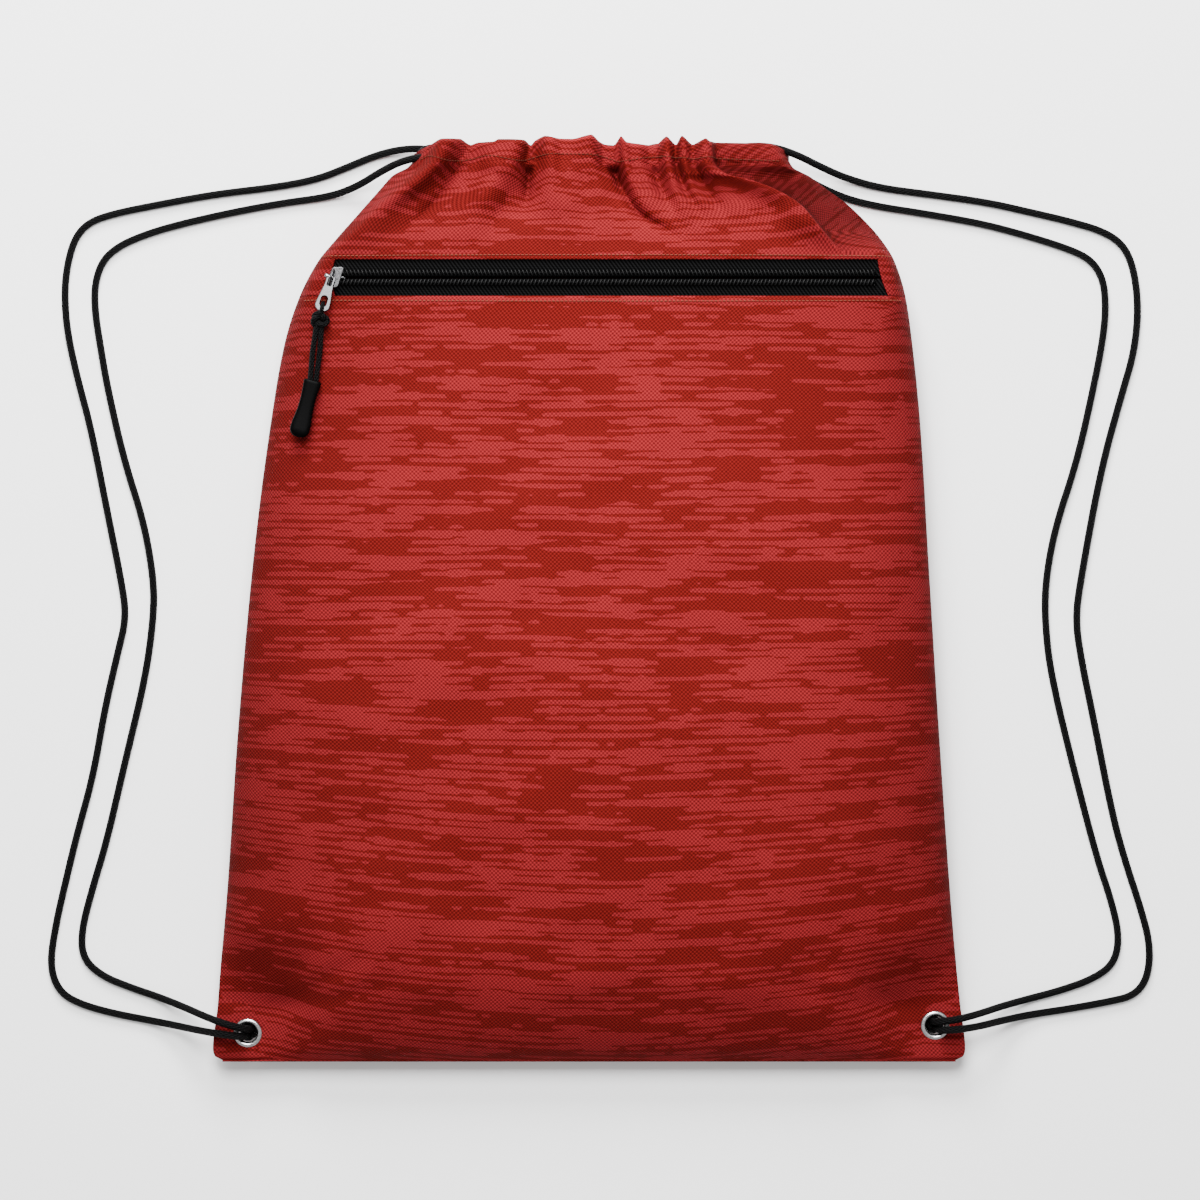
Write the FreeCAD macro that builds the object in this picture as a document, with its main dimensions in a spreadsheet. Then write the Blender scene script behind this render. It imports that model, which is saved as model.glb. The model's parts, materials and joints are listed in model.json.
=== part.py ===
import FreeCAD, Part
import math
import os
import Sketcher
from FreeCAD import Placement, Rotation, Vector

# Drawstring backpack lying on its back, loosely filled. +Y points to the mouth, +Z up from the back
# panel to the front, and +X to the right with the mouth away from the viewer. The back panel lies flat
# at z = 0. All sizes are in millimetres.

SIZES = {
    "cloth": 1.0,             # thickness of each fabric wall
    "zip_middle": 151.3,      # y of the zip's centreline
    "zip_left": -120.0,       # left end of both tapes
    "zip_right": 135.5,       # right end of both tapes
    "tape_top": 37.0,         # z of the tapes' upper faces
    "tape_gap": 0.5,          # half of the gap between the two tapes and the two coils
    "tape_reach": 12.5,       # from the zip's middle to each tape's sewn edge
    "coil_reach": 4.0,        # from the zip's middle to each coil's outer edge
    "coil_height": 2.2,
    "coil_round": 0.8,
    "tab_cover": 1.0,         # how far an end tab covers the tape
    "casing_left": -68.0,
    "casing_right": 74.0,
    "casing_near": 205.3,     # y where the casings meet the yoke and the back panel
    "casing_depth": 13.0,     # casing size along y
    "casing_height": 8.0,
    "casing_round": 0.9,
    "front_lane": 28.5,       # z of the cords in the front casing
    "back_lane": 5.5,         # z of the cords in the back casing
    "plate_left": -124.5,     # slider's upper plate
    "plate_length": 10.0,
    "plate_half": 4.9,
    "plate_thick": 1.1,
    "plate_corner": 1.6,
    "plate_lift": 0.3,        # running gap over the coils
    "flange_thick": 0.5,
    "flange_drop": 1.2,
    "flange_inset": 2.0,      # from the plate's ends to the flanges' ends
    "lower_inset": 5.5,       # from the plate's nose to the lower plate's end
    "lower_thick": 1.0,       # slider's lower plate
    "lower_gap": 0.4,
    "web_left": -118.6,       # web that joins the slider's plates through the gap between the coils
    "web_length": 3.6,
    "web_half": 0.35,
    "pivot_across": -120.7,   # x of the pull tab's pivot
    "pivot_height": 41.6,
    "bridge_radius": 3.4,     # slider's bridge, a half ring over the pull tab's crossbar
    "bridge_wire": 0.55,
    "tab_heading": 197.7,     # the direction that the pull tab hangs in, from +Y, in degrees
    "tab_tilt": 4.0,
    "tab_thick": 1.2,
    "tab_neck": 2.2,          # half width at the pivot
    "tab_bar": 0.6,           # half width of the crossbar in the bridge
    "tab_eye": 4.4,           # eye's far end from the pivot
    "tab_eye_half": 1.0,
    "tab_reach": 12.9,        # pivot to the centre of the tab's round end
    "tab_end": 3.7,
    "tab_hole": 2.0,
    "tab_hole_start": 10.4,
    "pull_cord_radius": 1.1,
    "loop_radius": 2.75,
    "loop_wire": 0.9,
    "pull_knot_radius": 4.0,
    "grip_thick": 5.0,
    "grip_edge": 1.2,
    "cord_radius": 1.75,
    "eyelet_outer": 7.0,
    "eyelet_barrel": 5.0,
    "eyelet_hole": 4.4,
    "eyelet_flange": 1.2,
    "eyelet_round": 0.7,
    "bore_overrun": 5.0,      # how far a hole's cutter passes the metal at both ends
    "washer_thick": 1.1,
    "corner_seam": 12.0,      # z of the seam at the bottom corners
    "left_eyelet_across": -162.0,
    "left_eyelet_along": -205.7,
    "right_eyelet_across": 164.3,
    "right_eyelet_along": -202.1,
    "end_knot_radius": 4.6,
    "end_knot_height": 4.9,
    "lining_left": -122.0,
    "lining_right": 136.0,
    "lining_near": -90.0,
    "lining_far": 163.8,
    "lining_height": 28.0,
}

# Cross-sections of the bag, from the bottom seam to the mouth. At each: y, the left and right edges,
# the flat seam flap's width, the width of the front's and the back's rounded shoulders, and the z of the
# seam, the front and the back.
# The back of a filled section is a little below z = 0, and is then trimmed flat there.
STATION_FIELDS = ("along", "left", "right", "flap", "turn", "under", "seam", "front", "back")
STATIONS = {
    "hem": (-218.5, -174.0, 174.0, 24.0, 30.0, 30.0, 12.0, 14.0, 10.4),
    "foot": (-213.0, -178.5, 178.5, 28.0, 30.0, 30.0, 12.0, 20.0, 6.0),
    "toe": (-194.0, -176.4, 176.4, 27.0, 35.0, 30.0, 12.0, 31.0, 1.5),
    "heel": (-178.0, -175.2, 174.7, 2.0, 40.0, 35.0, 13.0, 36.0, -0.1),
    "low": (-140.0, -171.7, 171.3, 1.0, 40.0, 35.0, 16.0, 41.0, -0.1),
    "waist": (-60.0, -166.0, 165.5, 1.0, 42.0, 35.0, 20.0, 44.0, -0.1),
    "chest": (20.0, -158.8, 160.6, 1.0, 40.0, 35.0, 20.0, 43.0, -0.1),
    "high": (85.0, -150.5, 156.7, 1.0, 34.0, 32.0, 19.0, 39.2, -0.1),
    "ledge": (138.0, -139.5, 151.0, 1.0, 11.0, 28.0, 18.0, 38.0, -0.1),
    "lip": (142.7, -137.3, 150.0, 1.0, 9.0, 28.0, 18.0, 38.0, -0.1),
    "brow": (159.9, -128.3, 144.7, 1.0, 5.0, 26.0, 18.0, 38.0, -0.1),
    "crest": (166.0, -123.6, 141.0, 1.0, 3.0, 26.0, 18.0, 38.0, -0.1),
    "slope": (184.0, -108.0, 126.0, 1.0, 8.0, 25.0, 17.0, 34.0, -0.1),
    "neck": (205.3, -87.1, 95.1, 1.0, 14.0, 22.0, 15.0, 31.0, 4.5),
}
FRONT_STATIONS = ("hem", "foot", "toe", "heel", "low", "waist", "chest", "high", "ledge", "lip")
YOKE_STATIONS = ("brow", "crest", "slope", "neck")

# Routes of the two drawcords, each from its end knot up through the eyelet, along the outer strand,
# through a casing, round at the far side, back through the other casing and down the inner strand.
FLOOR = 1.8
LEFT_ROUTE = [
    (-163.0, -207.4, 6.0), (-163.1, -207.3, 13.0), (-164.8, -207.0, 18.6), (-172.0, -206.0, 20.5),
    (-184.0, -204.4, 17.0), (-195.0, -203.0, 7.5), (-207.5, -201.0, 1.9), (-226.8, -197.4, FLOOR),
    (-242.9, -192.9, FLOOR), (-252.8, -187.0, FLOOR), (-257.3, -174.5, FLOOR), (-254.4, -155.0, FLOOR),
    (-249.5, -133.7, FLOOR), (-244.3, -112.0, FLOOR), (-236.5, -84.0, FLOOR), (-231.0, -52.0, FLOOR),
    (-225.0, -26.0, FLOOR), (-220.6, -8.0, FLOOR), (-223.4, 10.5, FLOOR), (-229.8, 41.9, FLOOR),
    (-237.6, 82.0, FLOOR), (-243.9, 105.0, FLOOR), (-249.0, 128.0, FLOOR), (-250.3, 147.0, FLOOR),
    (-248.6, 161.5, FLOOR), (-245.0, 173.0, FLOOR), (-238.5, 180.0, FLOOR), (-227.0, 184.0, FLOOR),
    (-206.4, 188.2, FLOOR), (-178.0, 193.4, FLOOR), (-150.0, 196.6, FLOOR), (-130.0, 200.3, FLOOR),
    (-115.0, 206.3, FLOOR), (-102.0, 211.8, 1.9), (-90.0, 214.6, 3.6), (-78.0, 214.9, 5.2),
    (-62.0, 214.5, 5.6), (-34.0, 214.7, 5.5), (0.0, 214.9, 5.4), (32.0, 214.7, 5.5),
    (54.0, 214.4, 5.5), (67.0, 214.2, 5.5), (78.7, 213.8, 5.5), (85.5, 212.2, 12.2),
    (85.5, 210.2, 21.8), (78.7, 208.9, 28.5), (64.5, 208.8, 28.5), (44.0, 209.2, 28.6),
    (14.0, 209.5, 28.5), (-18.0, 209.6, 28.5), (-46.0, 209.3, 28.5), (-62.0, 208.9, 28.5),
    (-76.0, 209.2, 28.2), (-88.0, 207.6, 23.0), (-99.0, 203.0, 14.0), (-110.5, 196.6, 5.5),
    (-124.0, 192.0, 1.9), (-146.3, 189.1, FLOOR), (-172.0, 184.3, FLOOR), (-198.4, 178.2, FLOOR),
    (-213.0, 173.6, FLOOR), (-224.5, 168.5, FLOOR), (-232.3, 161.5, FLOOR), (-235.9, 150.0, FLOOR),
    (-235.6, 137.0, FLOOR), (-233.4, 122.8, FLOOR), (-229.8, 101.5, FLOOR), (-221.8, 66.5, FLOOR),
    (-212.2, 36.7, FLOOR), (-207.4, 8.0, FLOOR), (-208.0, -11.0, FLOOR), (-211.8, -38.0, FLOOR),
    (-221.5, -78.0, FLOOR), (-230.0, -115.0, FLOOR), (-237.0, -138.0, FLOOR), (-242.2, -158.0, FLOOR),
    (-241.5, -171.0, FLOOR), (-232.5, -179.5, FLOOR), (-218.2, -185.2, FLOOR), (-205.0, -189.6, 1.9),
    (-192.5, -194.0, 7.5), (-181.5, -197.8, 17.2), (-171.5, -201.2, 20.6), (-163.4, -203.3, 18.8),
    (-161.1, -204.0, 13.0), (-161.0, -204.1, 6.0),
]
RIGHT_ROUTE = [
    (165.2, -203.8, 6.0), (165.3, -203.9, 13.0), (167.0, -204.0, 18.8), (174.2, -203.6, 20.6),
    (185.2, -202.2, 17.2), (196.5, -200.3, 7.5), (210.2, -197.9, 1.9), (228.2, -195.3, FLOOR),
    (246.6, -192.0, FLOOR), (260.0, -189.0, FLOOR), (266.6, -180.0, FLOOR), (267.6, -164.0, FLOOR),
    (262.7, -146.0, FLOOR), (255.6, -124.5, FLOOR), (249.6, -103.0, FLOOR), (240.3, -55.6, FLOOR),
    (234.6, -28.2, FLOOR), (231.9, -9.0, FLOOR), (234.5, 10.0, FLOOR), (244.0, 61.8, FLOOR),
    (253.8, 97.3, FLOOR), (260.0, 118.1, FLOOR), (262.0, 139.0, FLOOR), (259.8, 157.9, FLOOR),
    (255.0, 169.0, FLOOR), (245.5, 175.6, FLOOR), (229.1, 180.4, FLOOR), (211.1, 184.6, FLOOR),
    (190.0, 189.4, FLOOR), (162.8, 193.2, FLOOR), (139.0, 196.2, FLOOR), (122.0, 201.0, 3.0),
    (109.5, 206.0, 9.5), (98.0, 210.9, 18.5), (86.0, 214.0, 26.4), (74.0, 213.9, 28.4),
    (58.0, 213.5, 28.5), (30.0, 213.8, 28.5), (-2.0, 213.9, 28.6), (-32.0, 213.8, 28.5),
    (-50.0, 213.7, 28.5), (-61.0, 213.8, 28.5), (-72.7, 213.6, 28.5), (-79.5, 212.4, 21.8),
    (-79.5, 211.0, 12.2), (-72.7, 209.8, 5.5), (-58.0, 209.5, 5.5), (-34.0, 209.6, 5.4),
    (4.0, 209.8, 5.5), (40.0, 209.6, 5.5), (62.0, 209.3, 5.5), (76.0, 209.2, 5.3),
    (88.0, 207.6, 3.9), (99.0, 203.2, 2.1), (110.0, 196.8, FLOOR), (123.1, 191.0, FLOOR),
    (138.7, 187.3, FLOOR), (158.1, 184.4, FLOOR), (187.0, 179.4, FLOOR), (208.0, 173.8, FLOOR),
    (229.0, 167.2, FLOOR), (239.6, 162.0, FLOOR), (245.2, 153.0, FLOOR), (246.4, 140.0, FLOOR),
    (245.4, 127.0, FLOOR), (242.0, 108.0, FLOOR), (232.9, 66.5, FLOOR), (222.3, 34.8, FLOOR),
    (217.6, 9.0, FLOOR), (217.4, -11.0, FLOOR), (220.2, -36.0, FLOOR), (231.8, -83.6, FLOOR),
    (242.4, -124.0, FLOOR), (248.6, -142.0, FLOOR), (252.9, -160.0, FLOOR), (250.6, -173.4, FLOOR),
    (240.5, -180.9, FLOOR), (224.0, -186.7, FLOOR), (208.3, -190.7, 1.9), (196.0, -193.6, 7.5),
    (185.0, -196.3, 17.2), (174.0, -198.9, 20.6), (165.9, -199.9, 18.9), (163.5, -200.3, 13.0),
    (163.4, -200.4, 6.0),
]

PULL_KNOT = (-126.2, 131.1)      # x, y of the knot under the pull tab
GRIP_START = (-129.6, 104.0)     # x, y where the two pull strands enter the grip
GRIP_END = (-136.2, 79.5)        # x, y of the grip's far end
STRAND_SPACING = 1.5             # half of the distance between the two pull strands
CORE_RADIUS = 3.0                # inside of the pull knot, where loop and strands join
STRAND_ENTRY = 2.0               # how far each pull strand reaches into the grip
STEM_SHARE = 0.8                 # the stem's radius inside the knot, as a share of the loop's wire
STEM_START = 1.9                 # where the stem leaves the loop, in loop radii from the hook
GRIP_WAIST = 0.42                # the waist's place along the grip
GRIP_HALF_WIDTHS = (3.9, 3.4, 4.2)   # at its start, its waist and its far end

doc = FreeCAD.newDocument("DrawstringBackpack")
sheet = doc.addObject("Spreadsheet::Sheet", "Sizes")
values = {}


def store_sizes():
    """Write every driving size to the sheet under its alias."""
    values.update(SIZES)
    for station, numbers in STATIONS.items():
        for field, number in zip(STATION_FIELDS, numbers):
            values[station + "_" + field] = number
    for row, (name, number) in enumerate(values.items(), start=1):
        sheet.set("A%d" % row, name)
        sheet.set("B%d" % row, str(number))
        sheet.setAlias("B%d" % row, name)
    doc.recompute()


def bind(item, **expressions):
    """Bind an object's properties to expressions of the sheet's aliases."""
    for name, expression in expressions.items():
        item.setExpression(name.replace("__", "."), expression)
    return item


# ---------------------------------------------------------------- helpers for solids

def box(name, length, width, height, left, near, bottom):
    """A box whose sizes and corner are expressions."""
    solid = doc.addObject("Part::Box", name)
    bind(solid, Length=length, Width=width, Height=height)
    return bind(solid, Placement__Base__x=left, Placement__Base__y=near, Placement__Base__z=bottom)


def cylinder(name, radius, height, across, along, bottom):
    """An upright cylinder whose sizes and place are expressions."""
    solid = doc.addObject("Part::Cylinder", name)
    bind(solid, Radius=radius, Height=height)
    return bind(solid, Placement__Base__x=across, Placement__Base__y=along, Placement__Base__z=bottom)


def cut(name, base, tool):
    solid = doc.addObject("Part::Cut", name)
    solid.Base = base
    solid.Tool = tool
    return solid


def fuse(name, pieces):
    solid = doc.addObject("Part::MultiFuse", name)
    solid.Shapes = pieces
    return solid


def round_edges(name, base, radius, chosen):
    """Fillet the edges of base that chosen picks."""
    doc.recompute()
    solid = doc.addObject("Part::Fillet", name)
    solid.Base = base
    solid.Edges = [(number, radius, radius) for number, edge in enumerate(base.Shape.Edges, start=1)
                   if chosen(edge)]
    return solid


def runs_along_x(edge):
    """True for a straight edge parallel to X."""
    first, last = edge.Vertexes[0].Point, edge.Vertexes[-1].Point
    return abs(first.y - last.y) < 1e-6 and abs(first.z - last.z) < 1e-6


def origin_plane(body, role):
    return [item for item in body.Origin.OriginFeatures if item.Role == role][0]


def new_sketch(body, name, role):
    sketch = body.newObject("Sketcher::SketchObject", name)
    sketch.AttachmentSupport = [(origin_plane(body, role), "")]
    sketch.MapMode = "FlatFace"
    return sketch


def polyline(points):
    return [Part.LineSegment(first, second) for first, second in zip(points, points[1:] + points[:1])]


def fix_point(sketch, curve, end, names):
    """Hold one end of a curve at sheet values: names are the expressions of its x and y."""
    point = sketch.getPoint(curve, end)
    for kind, number, expression in zip(("DistanceX", "DistanceY"), (point.x, point.y), names):
        index = sketch.addConstraint(Sketcher.Constraint(kind, -1, 1, curve, end, number))
        sketch.setExpression("Constraints[%d]" % index, expression)


# ---------------------------------------------------------------- fabric shells

def shoulder(start, top):
    """An arc from a flap's end to the flat top: tangent to the top, or a steep arc on a narrow shoulder."""
    width = abs(start.x - top.x)
    rise = abs(top.y - start.y)
    outward = math.copysign(1, start.x - top.x)
    downward = math.copysign(1, start.y - top.y)
    if width >= rise:
        radius = (width ** 2 + rise ** 2) / (2 * rise)
        half = math.atan2(rise, width)
        aside = radius * math.sin(half)
        drop = radius * (1 - math.cos(half))
    else:
        aside = width * math.sqrt(0.5)
        drop = rise * (1 - math.sqrt(0.5))
    middle = Vector(top.x + outward * aside, top.y + downward * drop, 0)
    return Part.Arc(start, middle, top)


def wall_points(station, side, face):
    """The outline of one wall of a cross-section: the outer and the inner points, edge to edge."""
    size = {field: values[station + "_" + field] for field in STATION_FIELDS}
    cloth = values["cloth"]
    up = 1.0 if face == "front" else -1.0
    turn = size["turn"] if face == "front" else size["under"]
    seam = size["seam"]
    top = size[face]
    outer = []
    inner = []
    for edge, inward in ((size["left"], 1.0), (size["right"], -1.0)):
        flap_end = edge + inward * size["flap"]
        flat_start = flap_end + inward * turn
        outer.append([Vector(edge, seam + up * cloth, 0), Vector(flap_end, seam + up * cloth, 0),
                      Vector(flat_start, top, 0)])
        inner.append([Vector(edge, seam, 0), Vector(flap_end + inward * cloth, seam, 0),
                      Vector(flat_start, top - up * cloth, 0)])
    if side == "both":
        return outer, inner
    pick = 0 if side == "left" else 1
    return outer[pick], inner[pick]


def wall_sketch(body, station, face):
    """A closed cross-section of the front or back wall, in the XZ plane at the station's y."""
    sketch = new_sketch(body, body.Name + "_" + station, "XZ_Plane")
    outer, inner = wall_points(station, "both", face)
    curves = [
        Part.LineSegment(outer[0][0], outer[0][1]),
        shoulder(outer[0][1], outer[0][2]),
        Part.LineSegment(outer[0][2], outer[1][2]),
        shoulder(outer[1][1], outer[1][2]),
        Part.LineSegment(outer[1][1], outer[1][0]),
        Part.LineSegment(outer[1][0], inner[1][0]),
        Part.LineSegment(inner[1][0], inner[1][1]),
        shoulder(inner[1][1], inner[1][2]),
        Part.LineSegment(inner[1][2], inner[0][2]),
        shoulder(inner[0][1], inner[0][2]),
        Part.LineSegment(inner[0][1], inner[0][0]),
        Part.LineSegment(inner[0][0], outer[0][0]),
    ]
    for curve in curves:
        sketch.addGeometry(curve)
    join_ends(sketch)
    up = "" if face == "front" else "-"
    fix_point(sketch, 11, 1, ("Sizes.%s_left" % station, "Sizes.%s_seam" % station))
    fix_point(sketch, 5, 2, ("Sizes.%s_right" % station, "Sizes.%s_seam" % station))
    fix_point(sketch, 2, 1, ("Sizes.{0}_left + Sizes.{0}_flap + Sizes.{0}_{1}".format(
        station, "turn" if face == "front" else "under"), "Sizes.%s_%s" % (station, face)))
    thickness = sketch.addConstraint(Sketcher.Constraint("DistanceY", 11, 1, 11, 2,
                                                         values["cloth"] * (-1 if up else 1)))
    sketch.setExpression("Constraints[%d]" % thickness, up + "Sizes.cloth")
    bind(sketch, AttachmentOffset__Base__z="-Sizes.%s_along" % station)
    return sketch


def join_ends(sketch):
    """Make every pair of curve ends that lie on one point coincident."""
    ends = []
    for number in range(sketch.GeometryCount):
        for end in (1, 2):
            ends.append((number, end, sketch.getPoint(number, end)))
    for index, (number, end, point) in enumerate(ends):
        for other, other_end, place in ends[index + 1:]:
            if other != number and point.distanceToPoint(place) < 1e-6:
                sketch.addConstraint(Sketcher.Constraint("Coincident", number, end, other, other_end))


def lofted_body(name, sketches_of):
    """A body that is one ruled loft through the sketches that sketches_of(body) returns."""
    body = doc.addObject("PartDesign::Body", name)
    sketches = sketches_of(body)
    doc.recompute()
    loft = body.newObject("PartDesign::AdditiveLoft", name + "_loft")
    loft.Profile = (sketches[0], [""])
    loft.Sections = [(sketch, [""]) for sketch in sketches[1:]]
    loft.Ruled = True
    doc.recompute()
    return body


def fabric_wall(name, stations, face):
    return lofted_body(name, lambda body: [wall_sketch(body, station, face) for station in stations])


def punch_eyelets(body):
    """Cut both eyelet holes through a panel's corner flaps."""
    sketch = new_sketch(body, body.Name + "_eyelet_holes", "XY_Plane")
    for side in ("left", "right"):
        centre = Vector(values[side + "_eyelet_across"], values[side + "_eyelet_along"], 0)
        number = sketch.addGeometry(Part.Circle(centre, Vector(0, 0, 1), values["eyelet_barrel"]))
        fix_point(sketch, number, 3, ("Sizes.%s_eyelet_across" % side, "Sizes.%s_eyelet_along" % side))
        radius = sketch.addConstraint(Sketcher.Constraint("Radius", number, values["eyelet_barrel"]))
        sketch.setExpression("Constraints[%d]" % radius, "Sizes.eyelet_barrel")
    doc.recompute()
    before = body.Shape.Volume
    pocket = body.newObject("PartDesign::Pocket", body.Name + "_holes")
    pocket.Profile = sketch
    pocket.Type = "ThroughAll"
    pocket.Reversed = True
    doc.recompute()
    if body.Shape.Volume > before - 100:
        raise RuntimeError("eyelet holes cut nothing from " + body.Name)


def trim_flat(body):
    """Cut off what the loft has below z = 0, so that the panel lies on one flat face."""
    sketch = new_sketch(body, body.Name + "_base", "XY_Plane")
    left, right = values["foot_left"], values["foot_right"]
    near, far = values["hem_along"], values["neck_along"]
    for line in polyline([Vector(left, near, 0), Vector(right, near, 0), Vector(right, far, 0),
                          Vector(left, far, 0)]):
        sketch.addGeometry(line)
    join_ends(sketch)
    fix_point(sketch, 0, 1, ("Sizes.foot_left", "Sizes.hem_along"))
    fix_point(sketch, 2, 1, ("Sizes.foot_right", "Sizes.neck_along"))
    doc.recompute()
    trim = body.newObject("PartDesign::Pocket", body.Name + "_trim")
    trim.Profile = sketch
    trim.Type = "ThroughAll"
    doc.recompute()
    base = [face for face in body.Shape.Faces
            if isinstance(face.Surface, Part.Plane) and abs(face.CenterOfMass.z) < 1e-6]
    if len(base) != 1:
        raise RuntimeError("the base is not one flat face")


def tab_sketch(body, station, side):
    """A zip end tab's cross-section: from the side seam over the shoulder to just past the tape's end."""
    sketch = new_sketch(body, body.Name + "_" + station, "XZ_Plane")
    outer, inner = wall_points(station, side, "front")
    end = values["zip_" + side] + values["tab_cover"] * (1 if side == "left" else -1)
    outer_end = Vector(end, outer[2].y, 0)
    inner_end = Vector(end, inner[2].y, 0)
    for curve in (
        Part.LineSegment(outer[0], outer[1]), shoulder(outer[1], outer[2]),
        Part.LineSegment(outer[2], outer_end), Part.LineSegment(outer_end, inner_end),
        Part.LineSegment(inner_end, inner[2]), shoulder(inner[1], inner[2]),
        Part.LineSegment(inner[1], inner[0]), Part.LineSegment(inner[0], outer[0]),
    ):
        sketch.addGeometry(curve)
    join_ends(sketch)
    sign = "+" if side == "left" else "-"
    fix_point(sketch, 7, 1, ("Sizes.%s_%s" % (station, side), "Sizes.%s_seam" % station))
    fix_point(sketch, 3, 1, ("Sizes.zip_%s %s Sizes.tab_cover" % (side, sign), "Sizes.%s_front" % station))
    bind(sketch, AttachmentOffset__Base__z="-Sizes.%s_along" % station)
    return sketch


def end_tab(side):
    return lofted_body("zip_tab_" + side,
                       lambda body: [tab_sketch(body, station, side) for station in ("lip", "brow")])


def casing(name, lane):
    """A stitched hem tube along X, open at both ends, round a pair of cords."""
    length = "Sizes.casing_right - Sizes.casing_left"
    height = "Sizes." + lane + " - Sizes.casing_height / 2"
    outside = box(name + "_outside", length, "Sizes.casing_depth", "Sizes.casing_height",
                  "Sizes.casing_left", "Sizes.casing_near", height)
    rounded = round_edges(name + "_rounded", outside, values["casing_round"], runs_along_x)
    inside = box(name + "_inside", length, "Sizes.casing_depth - 2 * Sizes.cloth",
                 "Sizes.casing_height - 2 * Sizes.cloth", "Sizes.casing_left",
                 "Sizes.casing_near + Sizes.cloth", height + " + Sizes.cloth")
    return cut(name, rounded, inside)


def pocket_lining():
    """The pocket's back wall: a sheet that hangs from the upper tape under the front panel."""
    sheet_part = box("lining_sheet", "Sizes.lining_right - Sizes.lining_left",
                     "Sizes.lining_far - Sizes.lining_near", "Sizes.cloth", "Sizes.lining_left",
                     "Sizes.lining_near", "Sizes.lining_height")
    hanger = box("lining_hanger", "Sizes.zip_right - Sizes.zip_left", "Sizes.cloth",
                 "Sizes.tape_top - Sizes.cloth - Sizes.lining_height", "Sizes.zip_left",
                 "Sizes.lining_far - Sizes.cloth", "Sizes.lining_height")
    return fuse("pocket_lining", [sheet_part, hanger])


# ---------------------------------------------------------------- zip

def zip_rows():
    """Two tapes, each sewn under the fabric's edge, and the plain envelope of the coil on each."""
    length = "Sizes.zip_right - Sizes.zip_left"
    rows = {}
    for side, sign in (("upper", 1), ("lower", -1)):
        tape_near = "Sizes.zip_middle + Sizes.tape_gap" if sign > 0 else "Sizes.zip_middle - Sizes.tape_reach"
        coil_near = "Sizes.zip_middle + Sizes.tape_gap" if sign > 0 else "Sizes.zip_middle - Sizes.coil_reach"
        rows["zip_tape_" + side] = box(
            "zip_tape_" + side, length, "Sizes.tape_reach - Sizes.tape_gap", "Sizes.cloth",
            "Sizes.zip_left", tape_near, "Sizes.tape_top - Sizes.cloth")
        plain = box("coil_plain_" + side, length + " - 2 * Sizes.tab_cover - 1",
                    "Sizes.coil_reach - Sizes.tape_gap", "Sizes.coil_height",
                    "Sizes.zip_left + Sizes.tab_cover + 0.5", coil_near, "Sizes.tape_top")
        rows["zip_coil_" + side] = round_edges("zip_coil_" + side, plain, values["coil_round"],
                                               lambda edge: runs_along_x(edge) and
                                               edge.BoundBox.ZMin > values["tape_top"] + 1)
    return rows


def slider():
    """Slider body: plates above and below the zip, side flanges, a web between the coils, a bridge."""
    plate_bottom = "Sizes.tape_top + Sizes.coil_height + Sizes.plate_lift"
    near = "Sizes.zip_middle - Sizes.plate_half"
    lower_top = "Sizes.tape_top - Sizes.cloth - Sizes.lower_gap"
    plate = box("slider_plate", "Sizes.plate_length", "2 * Sizes.plate_half", "Sizes.plate_thick",
                "Sizes.plate_left", near, plate_bottom)
    corners = round_edges("slider_corners", plate, values["plate_corner"],
                          lambda edge: abs(edge.Vertexes[0].Z - edge.Vertexes[-1].Z) > 0.5)
    flanges = [box("slider_flange_" + side, "Sizes.plate_length - 2 * Sizes.flange_inset",
                   "Sizes.flange_thick", "Sizes.flange_drop", "Sizes.plate_left + Sizes.flange_inset", place,
                   plate_bottom + " - Sizes.flange_drop")
               for side, place in (("near", near),
                                   ("far", "Sizes.zip_middle + Sizes.plate_half - Sizes.flange_thick"))]
    lower = box("slider_lower", "Sizes.plate_length - Sizes.lower_inset", "2 * Sizes.plate_half",
                "Sizes.lower_thick", "Sizes.plate_left + Sizes.lower_inset", near,
                lower_top + " - Sizes.lower_thick")
    web = box("slider_web", "Sizes.web_length", "2 * Sizes.web_half",
              "Sizes.coil_height + Sizes.plate_lift + Sizes.cloth + Sizes.lower_gap + Sizes.lower_thick"
              " + Sizes.plate_thick", "Sizes.web_left", "Sizes.zip_middle - Sizes.web_half",
              lower_top + " - Sizes.lower_thick")
    ring = doc.addObject("Part::Torus", "slider_bridge")
    bind(ring, Radius1="Sizes.bridge_radius", Radius2="Sizes.bridge_wire")
    ring.Angle3 = 180
    ring.Placement = Placement(pivot_point(), bridge_rotation())
    feet = []
    heading = tab_heading()
    for side, sign in (("near", 1), ("far", -1)):
        place = pivot_point() + heading * (sign * values["bridge_radius"])
        foot = cylinder("slider_foot_" + side, "Sizes.bridge_wire",
                        "Sizes.pivot_height - (" + plate_bottom + ") - Sizes.plate_thick / 2",
                        "%r" % place.x, "%r" % place.y, plate_bottom + " + Sizes.plate_thick / 2")
        feet.append(foot)
    return fuse("slider", [corners, lower, web, ring] + flanges + feet)


def tab_heading():
    """Unit vector, level, along the pull tab from its pivot."""
    angle = math.radians(values["tab_heading"])
    return Vector(math.sin(angle), math.cos(angle), 0)


def pivot_point():
    return Vector(values["pivot_across"], values["zip_middle"], values["pivot_height"])


def frame_rotation(first, second):
    """Rotation that carries local X to first and local Y to second."""
    return Rotation(first, second, first.cross(second), "ZXY")


def bridge_rotation():
    return frame_rotation(tab_heading(), Vector(0, 0, 1))


def tab_rotation():
    """Local X along the tilted tab, local Y across it."""
    tilt = math.radians(values["tab_tilt"])
    along = tab_heading() * math.cos(tilt) + Vector(0, 0, math.sin(tilt))
    across = Vector(0, 0, 1).cross(tab_heading())
    return frame_rotation(along, across)


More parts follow.
